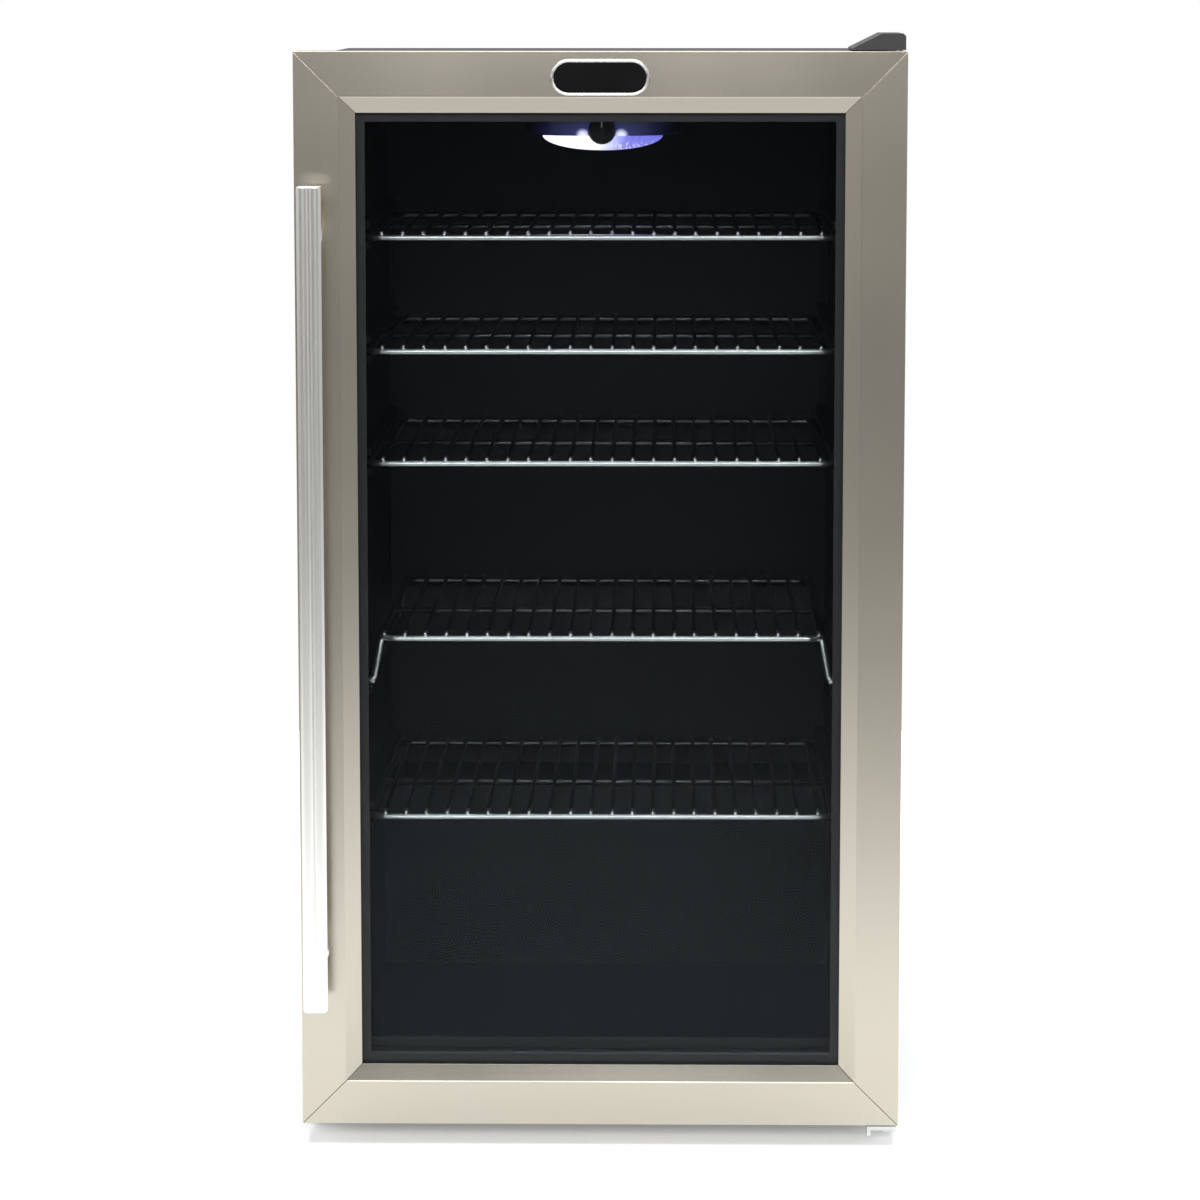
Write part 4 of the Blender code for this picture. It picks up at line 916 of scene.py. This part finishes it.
# ---- back and machine bay ------------------------------------------------------------------------
def condenser():
    """The serpentine tube with thin wires welded up both sides of it."""
    low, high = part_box("condenser_coil")
    middle = (low.y + high.y) / 2
    tube = (high.y - low.y) / 2
    wire, pressed = 0.0008, 0.0002  # a wire's radius, and how far it is welded into the tube
    rows_low, rows_high = low.z + 0.020, high.z + 0.004
    span = high.x - low.x - 0.058
    count = 34
    for word, side in (("front", -1), ("back", 1)):
        bm = bmesh.new()
        y = middle + side * (tube + wire - pressed)
        for i in range(count):
            x = low.x + 0.034 + span * (i + (0.25 if side > 0 else 0.0)) / count
            rod(bm, [(x, y, rows_low), (x, y, rows_high)], wire, 6)
        made(f"condenser_wires_{word}", bm, "cabinet", "black_steel", crease=80)
    bm = bmesh.new()
    for word in ("left", "right"):
        bracket_low, bracket_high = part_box(f"condenser_bracket_{word}")
        x = (bracket_low.x + bracket_high.x) / 2
        for z in (bracket_low.z + 0.006, bracket_high.z - 0.006):
            screw_head(bm, (x, bracket_high.y, z), "Y", 1, 0.0034)
        eased(f"condenser_bracket_{word}", 0.0003)
    made("condenser_screws", bm, "cabinet", "plated_steel")
    smooth_tube("condenser_coil")
    smooth_tube("suction_pipe")


def machine_bay():
    """The compressor on its mount, its relay and drier, and the pipes and leads between them."""
    low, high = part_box("compressor")
    x, y = (low.x + high.x) / 2, (low.y + high.y) / 2
    plate_top = low.z + 0.0025
    compressor_can(low, high, x, y, plate_top)
    compressor_mount(low, high, x, y, plate_top)
    for number in range(1, 5):
        eased(f"compressor_grommet_{number}", 0.0004)
    for node, width in (("relay_box", 0.0012), ("drip_tray", 0.0006), ("cord_clamp", 0.0008)):
        eased(node, width)
    smooth_tube("filter_drier")
    smooth_tube("drain_tube")
    copper_lines(x, y)
    relay_leads()


def compressor_can(low, high, x, y, plate_top):
    """Two pressed halves joined at a welded seam, round below and domed above."""
    radius = (high.y - low.y) / 2
    seam = plate_top + 0.62 * (high.z - plate_top)
    can = [(radius * 0.30, low.z + 0.0006), (radius * 0.62, low.z + 0.0022)]
    for lean in (20, 38, 56, 74, 90):
        angle = math.radians(lean)
        can.append((radius * (0.62 + 0.32 * math.sin(angle)), low.z + 0.022 - 0.020 * math.cos(angle)))
    can += [(radius * 0.955, seam - 0.0040), (radius * 0.985, seam - 0.0028), (radius, seam - 0.0020)]
    can += [(radius, seam + 0.0016), (radius * 0.985, seam + 0.0022), (radius * 0.97, seam + 0.0040)]
    shoulder = seam + 0.0040
    for lean in (12, 26, 40, 54, 66, 78, 86):
        angle = math.radians(lean)
        can.append((radius * 0.97 * math.cos(angle), shoulder + (high.z - shoulder) * math.sin(angle)))
    bm = bmesh.new()
    turned(bm, can, (x, y, 0.0), "Z", 64, stretch=1.18)
    made("compressor_can", bm, "cabinet", "black_steel", ["compressor"], crease=50)


def compressor_mount(low, high, x, y, plate_top):
    """The plate under the can, with a stud and a nut at each corner."""
    bm = bmesh.new()
    foot = rounded(low.x, high.x, y - 0.043, y + 0.043, 0.008, 5)
    drawn(bm, foot, "Z", low.z, plate_top)
    made("compressor_mount", bm, "cabinet", "black_steel", ease=0.0004)

    bm = bmesh.new()
    for i in (-1, 1):
        for j in (-1, 1):
            spot = (x + i * 0.070, y + j * 0.033)
            stud = [(0.0022, plate_top - 0.001), (0.0022, plate_top + 0.0035), (0.0016, plate_top + 0.0042)]
            nut = [(0.0052, plate_top), (0.0052, plate_top + 0.0022), (0.0046, plate_top + 0.0026)]
            turned(bm, stud, (*spot, 0.0), "Z", 16)
            turned(bm, nut, (*spot, 0.0), "Z", 6)
    made("compressor_nuts", bm, "cabinet", "plated_steel")


def copper_lines(x, y):
    """The discharge pipe, the charging stub and the capillary, which is coiled over the drier."""
    drier_low, drier_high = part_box("filter_drier")
    drier = (drier_low + drier_high) / 2
    pipe, capillary = 0.0024, 0.0011
    charge = x + 0.030, y + 0.046
    bm = bmesh.new()
    discharge = [
        (x - 0.052, y + 0.020, 0.075),
        (x - 0.105, y + 0.024, 0.075),
        (drier.x, drier.y, 0.030),
        (drier.x, drier.y, drier_low.z + 0.004),
    ]
    rod(bm, bent(discharge, 0.014), pipe, 10)
    stub = [
        (*charge, 0.070),
        (charge[0], charge[1] + 0.022, 0.070),
        (charge[0] + 0.010, charge[1] + 0.024, 0.112),
    ]
    rod(bm, bent(stub, 0.010), pipe, 10)
    curl = [(drier.x, drier.y, drier_high.z - 0.003), (drier.x, drier.y, drier_high.z + 0.012)]
    for i in range(37):
        angle = math.radians(30 * i)
        lift = drier_high.z + 0.016 + 0.0016 * i / 12
        across = drier.x + 0.022 - 0.022 * math.cos(angle)
        back = drier.y - 0.012 + 0.012 * math.cos(angle)
        curl.append((across, back, lift + 0.012 * math.sin(angle)))
    rod(bm, curl, capillary, 8)
    made("copper_lines", bm, "cabinet", "copper", crease=60)


def relay_leads():
    """Three leads from the relay down to the base pan and across it."""
    relay_low, relay_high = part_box("relay_box")
    lead_x, lead_y = (relay_low.x + relay_high.x) / 2, relay_high.y
    bm = bmesh.new()
    for shift in (-0.008, 0.0, 0.008):
        start = (lead_x + shift, lead_y - 0.002, relay_low.z + 0.010)
        out = (lead_x + shift, lead_y + 0.012, relay_low.z + 0.006 + abs(shift))
        down = (lead_x + shift * 0.6 - 0.030, lead_y + 0.014, 0.034 + abs(shift) * 0.4)
        end = (-0.150, lead_y + 0.010, 0.0245 + shift * 0.2)
        rod(bm, bent([start, out, down, end], 0.012), 0.0016, 8)
    made("relay_leads", bm, "cabinet", "rubber", crease=60)


def plain_nodes():
    """What keeps its CAD shape gets its slot's finish."""
    for name, node in NODES.items():
        if not node.hide_render:
            node.material_slots[0].material = FINISH[SLOTS[name]]


# ---- studio --------------------------------------------------------------------------------------
def floor():
    bm = bmesh.new()
    bmesh.ops.create_circle(bm, cap_ends=True, segments=128, radius=2.4)
    bm.transform(Matrix.Translation((0, -0.8, 0)))
    mesh = bpy.data.meshes.new("studio_floor")
    bm.to_mesh(mesh)
    bm.free()
    obj = bpy.data.objects.new("studio_floor", mesh)
    bpy.context.scene.collection.objects.link(obj)

    def card(graph):
        x, y, _ = graph.parts(graph.place())
        away = (x * x + y * y) ** 0.5
        seen = graph.node("LightPath", output="Is Camera Ray")
        # painted light: the floor glows, brighter away from the appliance to the camera, and is painted
        # darker ahead of the door in what the steel mirrors
        painted_shade_ahead = graph.ease(y, -0.42, -2.5) * (1.0 - seen)
        mirrored = graph.mixed(painted_shade_ahead, grey(0.22), grey(0.0))
        plain = graph.mixed(graph.ease(away, 0.5, 1.5), grey(0.22), grey(0.9))
        return {
            "Base Color": graph.mixed(painted_shade_ahead, grey(0.88), grey(0.42)),
            "Emission Color": graph.mixed(seen, mirrored, plain),
            "Roughness": 0.85 + 0.1 * graph.noise(3.0),
        }

    mesh.materials.append(finish("pale_card", card, Emission_Strength=1.0))


def studio():
    """White behind the appliance; what the steel mirrors is a dim front, brighter high up and aside."""
    scene = bpy.context.scene
    scene.world = bpy.data.worlds.new("studio")
    scene.world.use_nodes = True
    graph = Graph(scene.world.node_tree)
    x, y, z = graph.parts(graph.node("TexCoord", output="Generated"))
    above = graph.ease(z, -0.02, 0.10)
    front = 0.245 - 0.06 * above + 0.12 * graph.ease(z, 0.15, 0.65)
    strip = graph.ease(z, 0.20, 0.28) * graph.ease(z, 0.50, 0.42) * graph.ease(y, -0.76, -0.88) * 9.0
    sides = graph.ease(abs(x), 0.62, 0.86) * graph.ease(z, -0.10, 0.05) * 0.95
    behind = graph.ease(y, 0.05, 0.4) * 0.30
    level = front + sides + behind + strip
    tone = graph.mixed(above, (1.0, 0.985, 0.95, 1), (0.97, 1.0, 0.985, 1))
    dim = graph.node("Background", inputs={"Color": tone, "Strength": level})
    white = graph.node("Background", inputs={"Color": grey(1.0), "Strength": 1.0})
    seen = graph.node("LightPath", output="Is Camera Ray")
    both = graph.node("MixShader", inputs={0: seen, 1: dim, 2: white})
    graph.node("OutputWorld", inputs={"Surface": both})

    lights = (
        ("overhead_panel", (0.0, -0.05, 1.95), (0.0, -0.05, 0.0), 1.7, 46.0),
        ("front_strip", (0.0, -2.6, 1.32), (0.0, 0.0, 0.60), 0.5, 6.0),
    )
    for name, place, aim, size, power in lights:
        lamp = bpy.data.lights.new(name, "AREA")
        lamp.shape = "SQUARE"
        lamp.size = size
        lamp.energy = power
        obj = bpy.data.objects.new(name, lamp)
        obj.location = place
        obj.rotation_euler = (Vector(aim) - Vector(place)).to_track_quat("-Z", "Y").to_euler()
        obj.visible_camera = False
        scene.collection.objects.link(obj)
    scene.view_settings.view_transform = "Standard"


def camera():
    data = bpy.data.cameras.new("camera")
    data.lens = 126.4
    data.shift_y = -0.03
    obj = bpy.data.objects.new("camera", data)
    place, aim = Vector((0.05, -3.315, 0.87)), Vector((0.0, -0.215, 0.4440))
    obj.location = place
    obj.rotation_euler = (aim - place).to_track_quat("-Z", "Y").to_euler()
    bpy.context.scene.collection.objects.link(obj)
    bpy.context.scene.camera = obj


camera()
studio()
floor()
door_steel()
glazing()
gasket()
handle()
badge()
shelves()
inside()
cabinet()
hinges()
feet()
condenser()
machine_bay()
plain_nodes()
